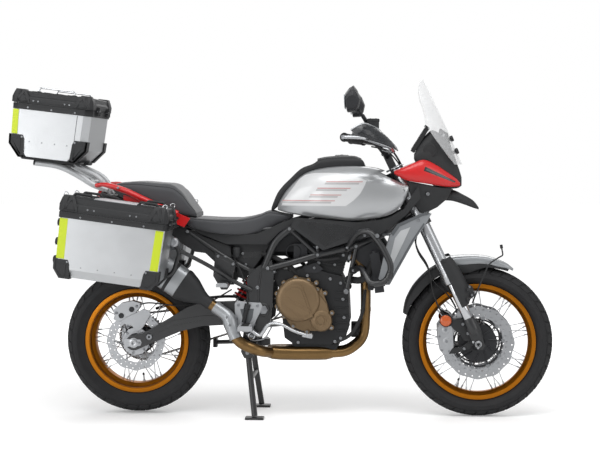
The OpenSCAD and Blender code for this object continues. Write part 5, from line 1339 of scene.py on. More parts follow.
def case_shell(place, l, w, d, cut, fold, c):
    """An open case below its rim: length, width, depth, cut and folded edges, corners."""
    t = Part(place)
    s = 6
    t.rings([plan(l, w, -d + 4, c, -4, cut, fold), plan(l, w, -d + cut, c, -4, s), plan(l, w, -1, c,
            -4), plan(l, w, -1, c, 0), plan(l, w, -d + cut, c, 0, s), plan(l, w, -d, c, 0, cut,
            fold)], 0)
    band(t, l, w, -26, 0, 4, 1.5, c, 1)
    band(t, l, w, -9, -6, 5, 1.5, c, 1)
    for y in (w, 0):
        o = 1 if y else -1
        for x in (-0.3, 0.0, 0.3):
            t.bolt((x * l, y + o * 4, -17), (0, o, 0), 4, 2, 2.5)
        for k in range(4):
            t.lathe([(3, 0), (2.4, 1.4), (0.1, 1.8)], (-0.24 * l + k * 0.16 * l, y, -d + cut + 14),
                    (0, o, 0), 2, 12)
    for sx in (-1, 1):
        e = sx * (l / 2)
        for y0, y1 in ((w - 42, w + 5), (-5, 42)):
            pts = [(e + sx * 5 - sx * 4, -d + cut + 40), (e + sx * 5 - sx * s, -d + cut - 2),
                   (e + sx * 5 - sx * cut, -d - 5), (e - sx * 74, -d - 5), (e - sx * 74, -d + 6),
                   (e - sx * (cut + 4), -d + 1), (e - sx * (s + 4), -d + cut),
                   (e - sx * 8, -d + cut + 40)]
            t.plate(pts, y0, y1, 1)
            fy0, fy1 = (y1 - 5.5, y1) if y0 > 0 else (y0, y0 + 5.5)
            if y0 > 0 and fold:
                fy1, fy0 = w + 2.5, w - 3
            face = [(e + sx * 4 - sx * 4, -d + cut + 40), (e + sx * 4 - sx * s, -d + cut - 2),
                    (e + sx * 4 - sx * cut, -d - 4), (e - sx * 72, -d - 4),
                    (e - sx * 66, -d + cut + 22), (e - sx * 58, -d + cut + 40)]
            t.plate(face, fy0, fy1, 1)
            inner = [(e - sx * 12, -d + cut + 22), (e - sx * 14, -d + cut - 2), (e - sx * (cut + 6),
                    -d + 8), (e - sx * 54, -d + 8), (e - sx * 52, -d + cut + 22)]
            oy = (fy1, fy1 + 2) if y0 > 0 else (fy0 - 2, fy0)
            t.plate(inner, oy[0], oy[1], 1)
            t.bolt((e - sx * 56, fy1 if y0 > 0 else fy0, -d + cut + 31), (0, 1 if y0 > 0 else -1,
                    0), 4.5, 2, 2.5)
    return t


def hinge(t, l, w, moving):
    """Two hinges on the short side ahead: knuckles of the lid, or pins and knuckles of the case."""
    for y in (w * 0.2, w * 0.8 - 40):
        if moving:
            t.cyl((l / 2 + 12, y + 9.5, 0), (l / 2 + 12, y + 30.5, 0), 7, 1, 18)
            t.box((l / 2 + 2, y + 9.5, 5), (l / 2 + 18, y + 30.5, 19), 1)
        else:
            t.cyl((l / 2 + 12, y - 5, 0), (l / 2 + 12, y + 45, 0), 3, 2, 14)
            for k in (-4, 32):
                t.cyl((l / 2 + 12, y + k, 0), (l / 2 + 12, y + k + 12, 0), 7, 1, 18)
                t.box((l / 2 + 2, y + k, -18), (l / 2 + 18, y + k + 12, -3), 1)


def case_lid(place, l, w, h, c, handles):
    """A lid with corner guards, and either carrying handles or a low rail."""
    t = Part(place)
    k = h * 0.5
    t.rings([plan(l, w, k, c, -4), plan(l, w, 2, c, -4), plan(l, w, 1, c, 3.2), plan(l, w, k - 3, c,
            4), plan(l, w, k + 1, c, 2), plan(l, w, k + 6, c, -4), plan(l, w, h - 5, c, -7),
            plan(l, w, h - 1, c, -12)], 1)
    band(t, l, w, 8, 11, 5, 2, c, 1)
    for y in (w, 0):
        o = 1 if y else -1
        for x in (-0.40, -0.24, -0.18, 0.16, 0.22, 0.36):
            t.bolt((x * l, y + o * 4, k - 14), (0, o, 0), 3.6, 2, 2)
    for sx in (-1, 1):
        for sy in (-1, 1):
            cx, cy = sx * l / 2, (w if sy > 0 else 0)

            def corner(z, far_x, far_y, out):
                pts = [(cx - sx * far_x, cy + sy * out), (cx - sx * 8, cy + sy * out),
                       (cx + sx * out, cy - sy * 8), (cx + sx * out, cy - sy * far_y),
                       (cx - sx * far_x, cy - sy * far_y)]
                return [(x, y, z) for x, y in pts]
            t.rings([corner(3, 74, 62, 6.5), corner(k - 2, 70, 60, 7), corner(h - 8, 58, 52, -1),
                     corner(h + 5, 50, 44, -9)], 1)
            a = cy + sy * 7.5
            tri = [Vector((cx - sx * 62, a, 8)), Vector((cx - sx * 44, a - sy * 7, h - 12)),
                   Vector((cx - sx * 22, a, 10))]
            t.tube(tri, 3.2, 1, 8, closed=True)
            t.tube([(cx - sx * 14, a, 8), (cx - sx * 30, a - sy * 9, h)], 3.4, 1, 8)
    if handles:
        t.plate([(-l * 0.22, h - 2), (l * 0.22, h - 2), (l * 0.22, h + 1.2), (-l * 0.22, h + 1.2)],
                16, w - 16, 3)
        for sx in (-1, 1):
            for y in (w - 26, 26):
                x0 = sx * l * 0.31
                t.box((x0 - 46, y - 15, h - 4), (x0 + 46, y + 15, h + 4), 1)
                t.tube(rounded([(x0 - 40, y, h + 2), (x0 - 34, y, h + 14), (x0 + 34, y, h + 14),
                                (x0 + 40, y, h + 2)], 10, 4), 5.5, 1, 12)
            for y in (w - 4, 4):
                t.tube([Vector((sx * l * 0.47, y - (12 if y > 50 else -12), h + 4))
                        + Vector((cos(q) * 9, 0, sin(q) * 9 + 4)) for q in turns(20)], 2.2, 4, 8,
                       closed=True)
    else:
        for y in (w - 40, 40):
            t.tube(rounded([(-72, y, h - 4), (-72, y, h + 18), (84, y, h + 18), (84, y, h - 4)], 12,
                           5), 3.6, 4, 10)
            for x in (-72, 84):
                t.lathe([(11, h - 4), (11, h + 1), (6, h + 3), (0.1, h + 3)], (x, y, 0), Z, 1, 18)
        for k2 in range(5):
            t.plate([(-110 + k2 * 52, h - 2), (-84 + k2 * 52, h - 2), (-84 + k2 * 52, h + 1.4),
                     (-110 + k2 * 52, h + 1.4)], 70, w - 70, 1)
    hinge(t, l, w, True)
    return t


STRIP_TOP = -28


def strip(t, l, w, d, cut, sx, m, width, y=None):
    """A reflecting strip along a vertical edge of the outer face."""
    y = w if y is None else y
    o = 0.9 if y > 1 else -0.9
    low = -d + cut + 42
    up = STRIP_TOP
    e0, e1 = [l / 2 - 3 - 6 * (-z) / (d - cut) for z in (up, low)]
    a = [(sx * e0, up), (sx * e1, low), (sx * (e1 - width), low), (sx * (e0 - width), up)]
    t.plate(a, min(y - 0.5, y + o), max(y - 0.5, y + o), m)


CASE_LOOKS = "case black screw lidplate chrome yellow dark"
# Length, width, depth and cut bottom edge of a side case, then of the top case
pl, pw, pd, pc = 444, 236, 272, 34
PAN_AT = tilted((-23, 240, 885), 7.6)
t = case_shell(PAN_AT, pl, pw, pd, pc, 20, 12)
for sx in (-1, 1):
    strip(t, pl, pw, pd, pc, sx, 5, 34)
hinge(t, pl, pw, False)
for z in (-30, -110, -186):
    t.box((-pl / 2 - 9, pw - 64, z - 34), (-pl / 2 + 2, pw - 26, z - 4), 1)
    t.box((-pl / 2 - 13, pw - 56, z - 28), (-pl / 2 - 7, pw - 34, z - 10), 6)
for x in (-150, 150):
    t.tube([(x, -7, -60), (x, 6, -60)], 14, 6, 20)
t.mirror()
t.make("pannier_shells", CASE_LOOKS, of="panniers", slot="case_silver", bevel=0.0016, smooth=30)


def right_case(p):
    q = PAN_AT(p)
    return Vector((q.x, -q.y, q.z))


for side, place in (("left", PAN_AT), ("right", right_case)):
    case_lid(place, pl, pw, 64, 12, True).make(
        "pannier_cover_" + side, CASE_LOOKS, "pannier_lid_" + side, "pannier_lid_" + side,
        "lid_black", bevel=0.0016, smooth=30)

TOP_AT = tilted((-338, -205, 1355), 6.7)
tl, tw, td, tc = 344, 410, 228, 52
t = case_shell(TOP_AT, tl, tw, td, tc, 0, 30)
for y in (tw, 0):
    strip(t, tl, tw, td, tc, -1, 5, 26, y)
    o = 1 if y else -1
    t.plate([(tl / 2 - 58, -27), (tl / 2 - 62, -td + 46), (tl / 2 - 60, -td + 46),
             (tl / 2 - 56, -27)], min(y, y + o * 0.8), max(y, y + o * 0.8), 6)
hinge(t, tl, tw, False)
t.box((-tl / 2 - 10, tw / 2 - 30, -44), (-tl / 2 + 2, tw / 2 + 30, -2), 1)
t.lathe([(9, -4), (9, 3), (7, 5), (0.1, 5)], (-tl / 2 - 10, tw / 2, -26), (-1, 0, 0), 2, 20)
t.make("top_case_shell", CASE_LOOKS, of="top_case", slot="case_silver", bevel=0.0016, smooth=30)
case_lid(TOP_AT, tl, tw, 56, 26, False).make("top_case_cover", CASE_LOOKS, "top_case_lid",
                                             "top_case_lid", "lid_black", bevel=0.0016, smooth=30)

# Rear rack under the top case
t = Part()
for s in (1, -1):
    main = rounded([(-447, s * 90, 1112), (-330, s * 90, 1098), (-240, s * 90, 1052), (-180, s * 88,
            1011), (-118, s * 87, 991.5)], 50, 7)
    t.tube(main, [12 + 2.5 * sin(pi * i / (len(main) - 1)) for i in range(len(main))], 0, 18)
    t.tube(rounded([(-270, s * 60, 1098), (-160, s * 60, 1048), (-116.8, s * 50, 970.8)], 40, 6),
           10, 0, 16)
    t.tube([(-440, s * 90, 1112), (-448, s * 90, 1113)], 12.6, 1, 16)
    for x, z in ((-330, 1111), (-200, 1040)):
        t.bolt((x, s * 90, z), (0.4, 0, 1), 6, 2, 4)
for x, z in ((-440, 1112), (-330, 1098), (-200, 1026)):
    t.cyl((x, -90, z), (x, 90, z), 9, 0)
t.make("rear_rack_tubes", "rack black screw", of="rear_rack", slot="rack_grey", smooth=50)
t = Part(tilted((-338, 0, 1355), 6.7))
t.plate([(-128, -242), (128, -242), (134, -236), (130, -229), (-130, -229), (-134, -236)], -128,
        128, 0)
for k in range(5):
    t.box((-104 + k * 44, -92, -230), (-84 + k * 44, 92, -228.6), 0)
t.box((126, -34, -240), (150, 34, -226), 0)
t.make("rack_plate", "black", slot="trim_black", bevel=0.002)

# Pannier racks
t = Part()
ry = 226.7      # just inside the side case
t.tube(rounded([(-200, ry, 860), (-215, ry, 690), (-180, ry, 660), (150, ry, 618), (190, ry, 640),
                (220, ry, 735), (150, ry, 800), (-120, ry, 842), (-200, ry, 850)], 30, 6), 9, 0, 14)
t.tube(rounded([(220, ry, 735), (343, 190, 667), (438, 150, 600), (520, 149.4, 560)], 40, 6), 9, 0,
       14)
t.tube([(-120, ry, 842), (-120, 107, 958)], 8, 0, 14)
t.lathe([(0.1, 221), (20, 221), (20, 246), (17, 250), (9, 251), (8, 248), (0.1, 248)],
        (196, 0, 771), Y, 2, 32)
t.plate([(178, 735), (214, 742), (222, 766), (206, 790), (184, 788), (174, 766)], 219, 226, 1)
for x, z in ((-200, 700), (60, 634), (60, 812)):
    t.lathe([(11, ry - 11), (12, ry - 9), (12, ry + 9), (11, ry + 11)], (x, 0, z), Y, 1, 20)
t.mirror().make("rack_loops", "frame shroud2 alloy", of="pannier_racks", slot="frame_black",
                smooth=50)

# ---------- Front end ----------
t = Part(fork)
for s in (1, -1):
    o = (FORK_X, s * FORK_Y, 0)
    t.lathe([(21.8, 288), (26, 288), (28.5, 292), (28.5, 328), (27, 332), (27, 556), (26, 566),
             (26, 842), (24, 845), (22, 846), (0.1, 846)], o, Z, 0, 48)
    t.lathe([(21.8, 284), (25, 285), (25, 290)], o, Z, 2, 40)
    t.lathe([(0.1, 848), (14, 848), (15, 847), (15, 845)], o, Z, 1, 6)
t.make("upper_fork_tubes", "fork_silver screw rubber", "front_end", "fork_legs", "axle_steel",
       smooth=40)
t = Part(fork)
for s in (1, -1):
    t.lathe([(20, 100), (21.5, 102), (21.5, 300), (20, 302)], (FORK_X, s * FORK_Y, 0), Z, 0, 40)
t.make("slider_tubes", "chrome", "front_end", slot="axle_steel")
t = Part(fork)
for s in (1, -1):
    t.lathe([(21.8, 118), (24, 118), (26, 114), (26, 70), (24, 52), (18, 40), (0.1, 38)],
            (FORK_X, s * FORK_Y, 0), Z, 0, 36)
    y0, y1 = s * FORK_Y - 17, s * FORK_Y + 17
    t.plate([(-18, 62), (-20, 10), (-12, -22), (6, -30), (24, -20), (26, 20), (36, 60), (36, 104),
             (28, 112), (-12, 96)], y0 + 2, y1 - 2, 0)
    t.plate([(26, 20), (34, 56), (40, 100), (44, 98), (38, 54), (30, 14), (22, -22), (18, -22)],
            s * FORK_Y - 8, s * FORK_Y + 8, 0)
    for z in (-18, 14):
        t.bolt((-16 if z > 0 else -8, s * 119, z + 4), (0, s, 0), 5, 1, 4)
    t.lathe([(8, s * 118), (14, s * 118), (15, s * 120), (15, s * 128), (13, s * 130), (9, s * 130),
             (8, s * 126), (6, s * 126), (6, s * 118)], (0, 0, 0), Y, 1, 36)
t.make("fork_feet", "frame steel", "front_end", slot="trim_black", bevel=0.003, steps=3)
t = Part(fork)
t.washer(6, 10, -138, 138, (0, 0, 0), Y, 0, 32)
for s in (1, -1):
    t.lathe([(6.2, s * 131), (13, s * 131), (13.5, s * 132), (13.5, s * 136), (12, s * 138),
             (6.2, s * 138)], (0, 0, 0), Y, 0, 6 if s > 0 else 28, closed=True)
t.make("axle_spindle", "steel", "front_end", "front_axle", "axle_steel", bevel=0.0006)

t = Part(fork)
guard = [(z, a) for z, a in ((174, 0.42), (190, 0.72), (215, 0.98), (260, 1.1), (300, 1.08),
                             (345, 1.0), (380, 0.86), (396, 0.72))]
for s in (1, -1):
    rows = []
    for z, k in guard:
        out = [(-4, 35), (12, 36), (30, 33), (44, 25), (54, 12), (57, -2), (56, -14)]
        pts = [(8 + (x if x < 12 else 12 + (x - 12) * k), y) for x, y in out]
        inner = [(x - 3 if x > 12 else x, y - 3) for x, y in pts]
        rows.append([(x, s * (FORK_Y + y), z) for x, y in pts] + [(x, s * (FORK_Y + y), z) for x,
                y in inner[::-1]])
    t.rings(rows, 0)
    for p in ((18, 392), (64, 232), (44, 196)):
        t.lathe([(9, 31), (9, 37), (6, 39), (0.1, 39)], (p[0], s * FORK_Y, p[1]), (0, s, 0), 1, 18)
    t.plate([(52, 190), (78, 196), (84, 236), (70, 256), (52, 244)], s * 108 - 4, s * 108 + 4, 0)
    t.bolt((72, s * 113, 240), (0, s, 0), 5, 2, 3)
    t.bolt((66, s * 113, 204), (0, s, 0), 5, 2, 3)
t.make("fork_covers", "black black screw", "front_end", slot="trim_black", bevel=0.0012, smooth=50)

# Caps, bolts and the stem nut on the clamps
t = Part(fork)
for z in (575, 592, 818):
    for s in (1, -1):
        t.bolt((24, s * 68, z), X, 5.5, 0, 6)
for s in (1, -1):
    t.lathe([(27.4, 841), (33, 841), (33, 839)], (FORK_X, s * FORK_Y, 0), Z, 1, 36)
t.lathe([(0.1, 846), (15, 846), (17, 843), (17, 838)], (STEER_X, 0, 0), Z, 0, 6)
for s in (1, -1):
    t.box((-28, s * 45 - 16, 912), (14, s * 45 + 16, 922), 1)
    for x in (-22, 8):
        t.bolt((x, s * 45, 922), Z, 4.5, 0, 4)
t.make("clamp_bolts", "screw frame", "front_end", slot="frame_black", bevel=0.001)

# Handlebar, grips, switch blocks, levers and the brake reservoir
bar = rounded([(-7, 0, 902), (-7, 70, 902), (-24, 170, 973), (-73, 290, 1008), (-132, 440, 1047)],
              40, 6)
t = Part(fork)
t.tube(bar, [14.3 - 2.3 * min(1, max(0, (p.y - 66) / 40)) for p in bar], 0, 24)
grip = [Vector((-73, 290, 1008)).lerp(Vector((-132, 440, 1047)), u) for u in
        [0.1 + 0.9 * i / 44 for i in range(45)]]
t.tube(grip, [16.2 + (0.8 if i % 2 else 0) + (2.5 if i < 2 or i > 42 else 0) for i in range(45)], 1,
       24)
t.tube([(-36, 226, 1000), (-28, 278, 1013), (-20, 330, 1026)], [15, 17, 15], 2, 20)
t.box((-52, 236, 988), (-20, 286, 1020), 2)
for k, (x, z) in enumerate(((-52, 1012), (-52, 1000), (-52, 994))):
    t.box((x - 4, 242 + k * 15, z - 4), (x + 2, 252 + k * 15, z + 4), 3 if k == 1 else 1)
t.tube(rounded([(-10, 250, 1008), (4, 340, 1024), (-14, 396, 1036), (-42, 436, 1046)], 30, 6),
       [6.5] * 14, 4, 12, flat=0.7)
t.box((-20, 226, 992), (12, 262, 1022), 2)
for p in ((-8, 232, 1022), (-8, 252, 1022)):
    t.bolt(p, Z, 3.6, 5, 3)
t.box((-24, 28, 830), (10, 62, 912), 0)
t.mirror()
t.make("bar_and_controls", "frame rubber black red dark screw", "front_end",
       "handlebar", "bar_black", bevel=0.0016, smooth=42)
t = Part()
t.lathe([(0.1, 1296), (24, 1296), (27, 1293), (27, 1284), (25, 1282), (25, 1252), (20, 1244),
         (0.1, 1244)], (1048, -330, 0), Z, 0, 36)
t.box((1010, -346, 1228), (1040, -318, 1262), 0)
t.bolt((1036, -330, 1296), Z, 3, 1, 2)
t.bolt((1060, -330, 1296), Z, 3, 1, 2)
for s in (1, -1):
    t.tube(rounded([(1014, s * 318, 1222), (1090, s * 240, 1200), (1140, s * 120, 1150),
                    (1172, s * 50, 1090)], 50, 7), 4.2, 2, 10)
t.tube(rounded([(1040, -250, 1180), (1100, -190, 1170), (1140, -106, 1130), (1168, -54, 1088)], 40,
               7), 3.2, 2, 8)
t.make("reservoir_and_cables", "black screw rubber", "front_end", slot="trim_black", bevel=0.001)

# Handguards: a silver bar and a dark panel above it
t = Part(fork)
t.tube(rounded([(-132, 449, 1047), (-104, 449, 1034), (-60, 430, 1010), (20, 300, 930),
                (26, 230, 906), (-10, 150, 936)], 26, 8), 9.5, 0, 18, flat=0.82)
t.bolt((-134, 450, 1047.5), (-0.4, 0.9, 0.25), 9, 1, 6)
t.lathe([(14, -9), (15, -8), (15, 8), (14, 9)], (-10, 150, 950), (0, 0.8, -0.5), 0, 24)
t.tube(rounded([(-92, 452, 1062), (-36, 434, 1068), (10, 348, 1022), (22, 252, 968)], 40, 8), 3.6,
       0, 10)
t.mirror().make("guard_bars", "fork_silver screw", "front_end", "handguards", "guard_silver",
                smooth=50)
t = Part(fork)
stations = [((-104, 446, 1038), (-92, 447, 1060)), ((-74, 440, 1012), (-64, 444, 1064)),
            ((-40, 420, 990), (-36, 430, 1064)), ((-2, 378, 958), (-10, 388, 1046)),
            ((30, 330, 926), (10, 344, 1018)), ((42, 282, 910), (18, 296, 988)), ((46, 236, 904),
        (22, 248, 964))]
rows = []
for a, b in stations:
    a, b = Vector(a), Vector(b)
    out = Vector((9, 6, 0))
    front_pts = [a.lerp(b, u) + out * sin(pi * u) for u in (0, 0.25, 0.5, 0.75, 1)]
    rows.append(front_pts + [p - Vector((3, 3, 0)) for p in front_pts[::-1]])
t.rings(rows, 0)
t.mirror().make("guard_panels", "smoke", "front_end", slot="trim_black", smooth=60)

# Mirrors
side = [(934, 1398), (950, 1420), (968, 1431), (984, 1410), (997, 1377), (990, 1344), (976, 1322),
        (942, 1320), (934, 1354)]
cx, cz = 962, 1376
t = Part()
rows = []
for y, k, dz in ((308, 0.5, -10), (316, 0.8, -6), (336, 0.97, 0), (376, 1.0, 2), (412, 0.95, 0),
                 (436, 0.78, -6), (445, 0.5, -12)):
    rows.append([(cx + (x - cx) * (0.6 + 0.4 * k), y, cz + dz + (z - cz) * k) for x, z in side])
t.rings(rows, 0)
t.tube(rounded([(1041, 300, 1240), (1030, 312, 1262), (1010, 330, 1296), (988, 350, 1332)], 26, 6),
       [7] * 16, 0, 14)
t.lathe([(14, 0), (15, 2), (15, 22), (11, 26), (0.1, 27)], (1040, 300, 1236), (-0.25, 0.1, 1), 0,
        24)
glass = [Vector((932 - (z - 1334) * 0.06, y, z)) for y, z in ((322, 1352), (330, 1392), (372, 1402),
        (420, 1394), (432, 1360), (420, 1336), (340, 1334))]
t.rings([glass, [p + Vector((3, 0, 0)) for p in glass]], 1)
t.mirror().make("mirror_heads", "dark mirror", "front_end", "mirrors", "trim_black", bevel=0.0025,
                steps=3, smooth=24)


# Front fender: silver top over a black mudguard, both lofted round the axle
def curve(table, a):
    """The value at a, on straight lines between the rows of (a, value)."""
    for (p, q), (r, s) in zip(table, table[1:]):
        if p <= a <= r:
            return q + (s - q) * (a - p) / (r - p)
    return table[-1][1] if a > table[-1][0] else table[0][1]


def fender(a0, a1, n, crown, width, drop, thick, skirt, m):
    """A curved guard round the front axle. The tables give radius and section by angle."""
    rows = []
    for i in range(n + 1):
        a = a0 + (a1 - a0) * i / n
        R, w, d, k = curve(crown, a), curve(width, a), curve(drop, a), curve(skirt, a)
        half = [(0, 0), (w * 0.45, d * 0.1), (w * 0.78, d * 0.36), (w * 0.95, d * 0.7), (w, d),
                (w + 1, d + k)]
        outer = [(-y, R - e) for y, e in half[::-1]] + [(y, R - e) for y, e in half[1:]]
        inner = [(y * (1 - thick / 70), r - thick) for y, r in outer]
        c, s = cos(radians(a)), sin(radians(a))
        rows.append([(WHEELBASE + r * c, y, FRONT_R + r * s) for y, r in outer + inner[::-1]])
    t = Part()
    t.rings(rows, m)
    return t


top = [(64, 357), (70, 368), (83, 378), (100, 386), (110, 396), (114, 398)]
fender(64, 113, 28, top, [(64, 26), (68, 44), (76, 56), (95, 62), (114, 64)],
       [(64, 4), (72, 10), (114, 15)], 3, [(64, 3), (76, 16), (100, 26), (113, 20)], 0).make(
    "fender_top", "fender", "front_end", "front_fender", "fender_grey", smooth=50)
low = [(66, 351), (80, 359), (100, 366), (114, 383), (122, 382), (139, 374), (150, 364), (159, 349)]
t = fender(67, 159, 44, low, [(66, 30), (74, 52), (95, 60), (140, 62), (159, 56)],
           [(66, 4), (80, 10), (159, 12)], 3, [(66, 8), (84, 18), (96, 44), (106, 48), (120, 34),
                                               (140, 30), (159, 6)], 0)
for s in (1, -1):
    t.plate([(1332, 640), (1372, 664), (1408, 640), (1412, 560), (1380, 540), (1340, 590)],
            s * 69 - 3, s * 69 + 3, 0)
    t.bolts(((1352, 632), (1392, 636), (1384, 566)), s * 72, 5.5, 1, 4)
t.make("mudguard", "black screw", "front_end", slot="trim_black", bevel=0.001, smooth=50)

# Calipers with brackets and reflectors, hoses and the bent wire
t = Part()


def axle_pts(pts):
    return [(WHEELBASE + x, FRONT_R + z) for x, z in pts]


body = axle_pts([(-176, 66), (-158, 92), (-132, 100), (-114, 84), (-108, 40), (-106, -14),
                 (-118, -44), (-142, -52), (-162, -30), (-172, 10)])
t.plate(body, 74, 96, 0)
t.plate(body, 44, 62, 0)
t.plate(axle_pts([(-176, 66), (-158, 92), (-150, 86), (-162, 50), (-158, 0), (-142, -44),
                  (-150, -50), (-166, -30), (-174, 10)]), 60, 76, 0)
for x, z, r in ((-140, 58, 17), (-136, 8, 17)):
    t.lathe([(0.1, 99), (r - 4, 99), (r, 97), (r, 90)], (WHEELBASE + x, 0, FRONT_R + z), Y, 0, 30)
    t.lathe([(0.1, 101), (6, 101), (7, 99)], (WHEELBASE + x, 0, FRONT_R + z), Y, 2, 6)
for x, z in ((-166, 30), (-124, 84), (-124, -34), (-156, -30)):
    t.bolt((WHEELBASE + x, 96, FRONT_R + z), Y, 5, 2, 4)
t.plate(axle_pts([(-132, 92), (-120, 100), (-52, 110), (-30, 70), (-14, 30), (-34, 8), (-60, 12),
                  (-78, 40), (-104, 60)]), 84, 97, 1)
t.plate(axle_pts([(-126, -46), (-96, -44), (-40, -26), (-16, 0), (-30, 16), (-70, -14),
                  (-112, -22)]), 84, 97, 1)
for x, z in ((-66, 84), (-44, 44), (-60, -22)):
    t.bolt((WHEELBASE + x, 97, FRONT_R + z), Y, 6.5, 2, 5)
t.plate([(1346, 452), (1372, 458), (1392, 440), (1380, 404), (1352, 402)], 96, 100, 1)
t.mirror()
t.make("brake_calipers", "alloy black screw", "front_end", "front_calipers", "caliper_grey",
       bevel=0.0025, steps=3, smooth=34)
t = Part()
t.lathe([(0.1, 107), (21, 107), (24.5, 104.5), (25, 100)], (1360, 0, 428), Y, 0, 48)
t.lathe([(25, 99.5), (27, 99.5), (27, 104), (25, 105.5)], (1360, 0, 428), Y, 1, 48, closed=True)
t.mirror().make("reflectors", "orange black", "front_end", slot="trim_black", smooth=50)
t = Part()
t.tube(rounded([(1239, 60, 812), (1226, 96, 770), (1240, 104, 720), (1290, 108, 650),
                (1300, 92, 560), (1330, 84, 480), (1366, 80, 436)], 60, 8), 3.6, 0, 10)
t.tube(rounded([(1284, 60, 650), (1300, 90, 600), (1372, 78, 540), (1410, 78, 470)], 50, 6), 2.8, 0,
       8)
t.mirror()
t.tube(rounded([(1474, -100, 505), (1500, -96, 570), (1545, -90, 676), (1590, -84, 704),
                (1606, -84, 712), (1600, -84, 744)], 20, 8), 3.4, 1, 10)
t.tube([(1600, -84, 742), (1597, -84, 758)], 6.4, 1, 12)
t.make("brake_hoses", "rubber black", "front_end", slot="trim_black", smooth=60)

# ---------- Tail, guards and foot controls ------------------
loop = rounded([(930, 127, 741), (976, 200, 812), (1030, 236, 826), (1086, 252, 760),
                (1130, 254, 668), (1098, 248, 602), (1034, 236, 598), (1012, 210, 640),
                (994, 180, 664), (957, 136, 645)], 40, 7)
t = Part()
t.tube(loop, 13, 0, 20)
for p, d in (((934, 132, 746), (0.5, 0.7, 0.5)), ((960, 142, 648), (0.6, 0.7, 0.3))):
    t.lathe([(13.6, -8), (17, -7), (17, 7), (13.6, 8)], p, d, 0, 24)
    t.bolt((p[0], p[1] + 17, p[2]), Y, 5.5, 1, 4)
t.lathe([(13.4, -14), (16, -12), (16, 12), (13.4, 14)], (1116, 253, 634), (0.4, 0, 1), 0, 26)
t.lathe([(0.1, 20), (9, 20), (9.5, 18), (9.5, 8)], (1060, 244, 800), (0.3, 1, 0.2), 1, 20)
t.mirror().make("crash_loops", "frame screw", of="crash_bars", slot="frame_black", smooth=50)

# Red grab rails and lower tail panels
t = Part()
rail = rounded([(200, 152, 892), (64, 152, 946), (-40, 152, 996), (-130, 130, 1018),
                (-166, 117, 1012)], 60, 8)
t.tube(rail, [11 + 5 * sin(pi * min(1, 0.15 + i / (len(rail) - 1))) for i in range(len(rail))], 0,
       20, flat=0.85)
t.plate([(226, 832), (252, 870), (178, 902), (60, 944), (-40, 972), (-40, 950), (80, 900),
         (180, 850)], 138, 147, 0)
t.plate([(190, 858), (206, 873), (176, 887), (90, 922), (96, 910), (176, 868)], 146, 149.5, 1)
t.cyl((150, 97, 862), (150, 146, 900), 7, 1)
for p in ((150, 167, 908), (-60, 165, 1003)):
    t.bolt(p, (0, 1, 0.3), 6, 2, 3)
t.mirror().make("grab_rails", "red black screw", of="tail_panels", slot="panel_red", bevel=0.002,
                smooth=50)

# Rear fender, blank plate, tail light and indicators
secs = [(-296, 640, 652, 40), (-292, 700, 712, 46), (-262, 744, 760, 50), (-210, 792, 812, 54),
        (-170, 830, 852, 57), (-110, 884, 902, 63), (-60, 912, 928, 67), (-30, 930, 946, 70)]
t = Part()
t.rings([[(x, -w, z0 - 4), (x, -w * 0.7, z0), (x, w * 0.7, z0), (x, w, z0 - 4), (x, w, z1 - 10),
          (x, w * 0.8, z1 - 2), (x, 0, z1 + 3), (x, -w * 0.8, z1 - 2), (x, -w, z1 - 10)] for x, z0,
         z1, w in secs], 0)
for s in (1, -1):
    t.tube(rounded([(-200, s * 50, 812), (-206, s * 96, 816), (-206, s * 118, 816)], 14, 4),
           [6] * 7, 0, 12)
    t.lathe([(3, 118), (11, 120), (14, 128), (14, 150), (11, 158), (0.1, 160)], (-206, 0, 816),
            (0, s, 0), 1, 24)
    t.lathe([(14.4, 126), (15.4, 127), (15.4, 132), (14.4, 133)], (-206, 0, 816), (0, s, 0), 0, 24)
t.make("tail_fender", "black orange", of="rear_fender", slot="trim_black", bevel=0.0015, smooth=40)
t = Part(tilted((-318, 0, 640), 18))
t.box((-2, -90, -4), (3, 90, 120), 0)
t.box((-4, -86, 0), (-2, 86, 116), 1)
for y in (-50, 50):
    t.bolt((-4, y, 96), (-1, 0, 0), 4, 2, 2)
t.lathe([(0.1, -8), (20, -8), (22, -6), (22, 0)], (2, 0, -21), X, 3, 28)
t.box((2, -26, 20), (20, 26, 90), 0)
t.make("blank_plate", "black rack screw lamp", slot="trim_black", bevel=0.0012)
t = Part()
t.rings([[(x, y * k, 970 + (z - 970) * k) for y, z in ((-62, 962), (-54, 951), (54, 951), (62, 962),
                                                       (62, 978), (48, 989), (-48, 989),
                                                       (-62, 978))] for x, k in ((-149.5, 0.98),
        (-160, 1.0), (-168, 0.97), (-173, 0.84))], 0)
for k in range(5):
    t.box((-173.2, -44 + k * 18, 962), (-171, -34 + k * 18, 978), 1)
t.make("tail_lens", "lamp gloss", of="tail_light", slot="lamp_red", bevel=0.0015, smooth=30)

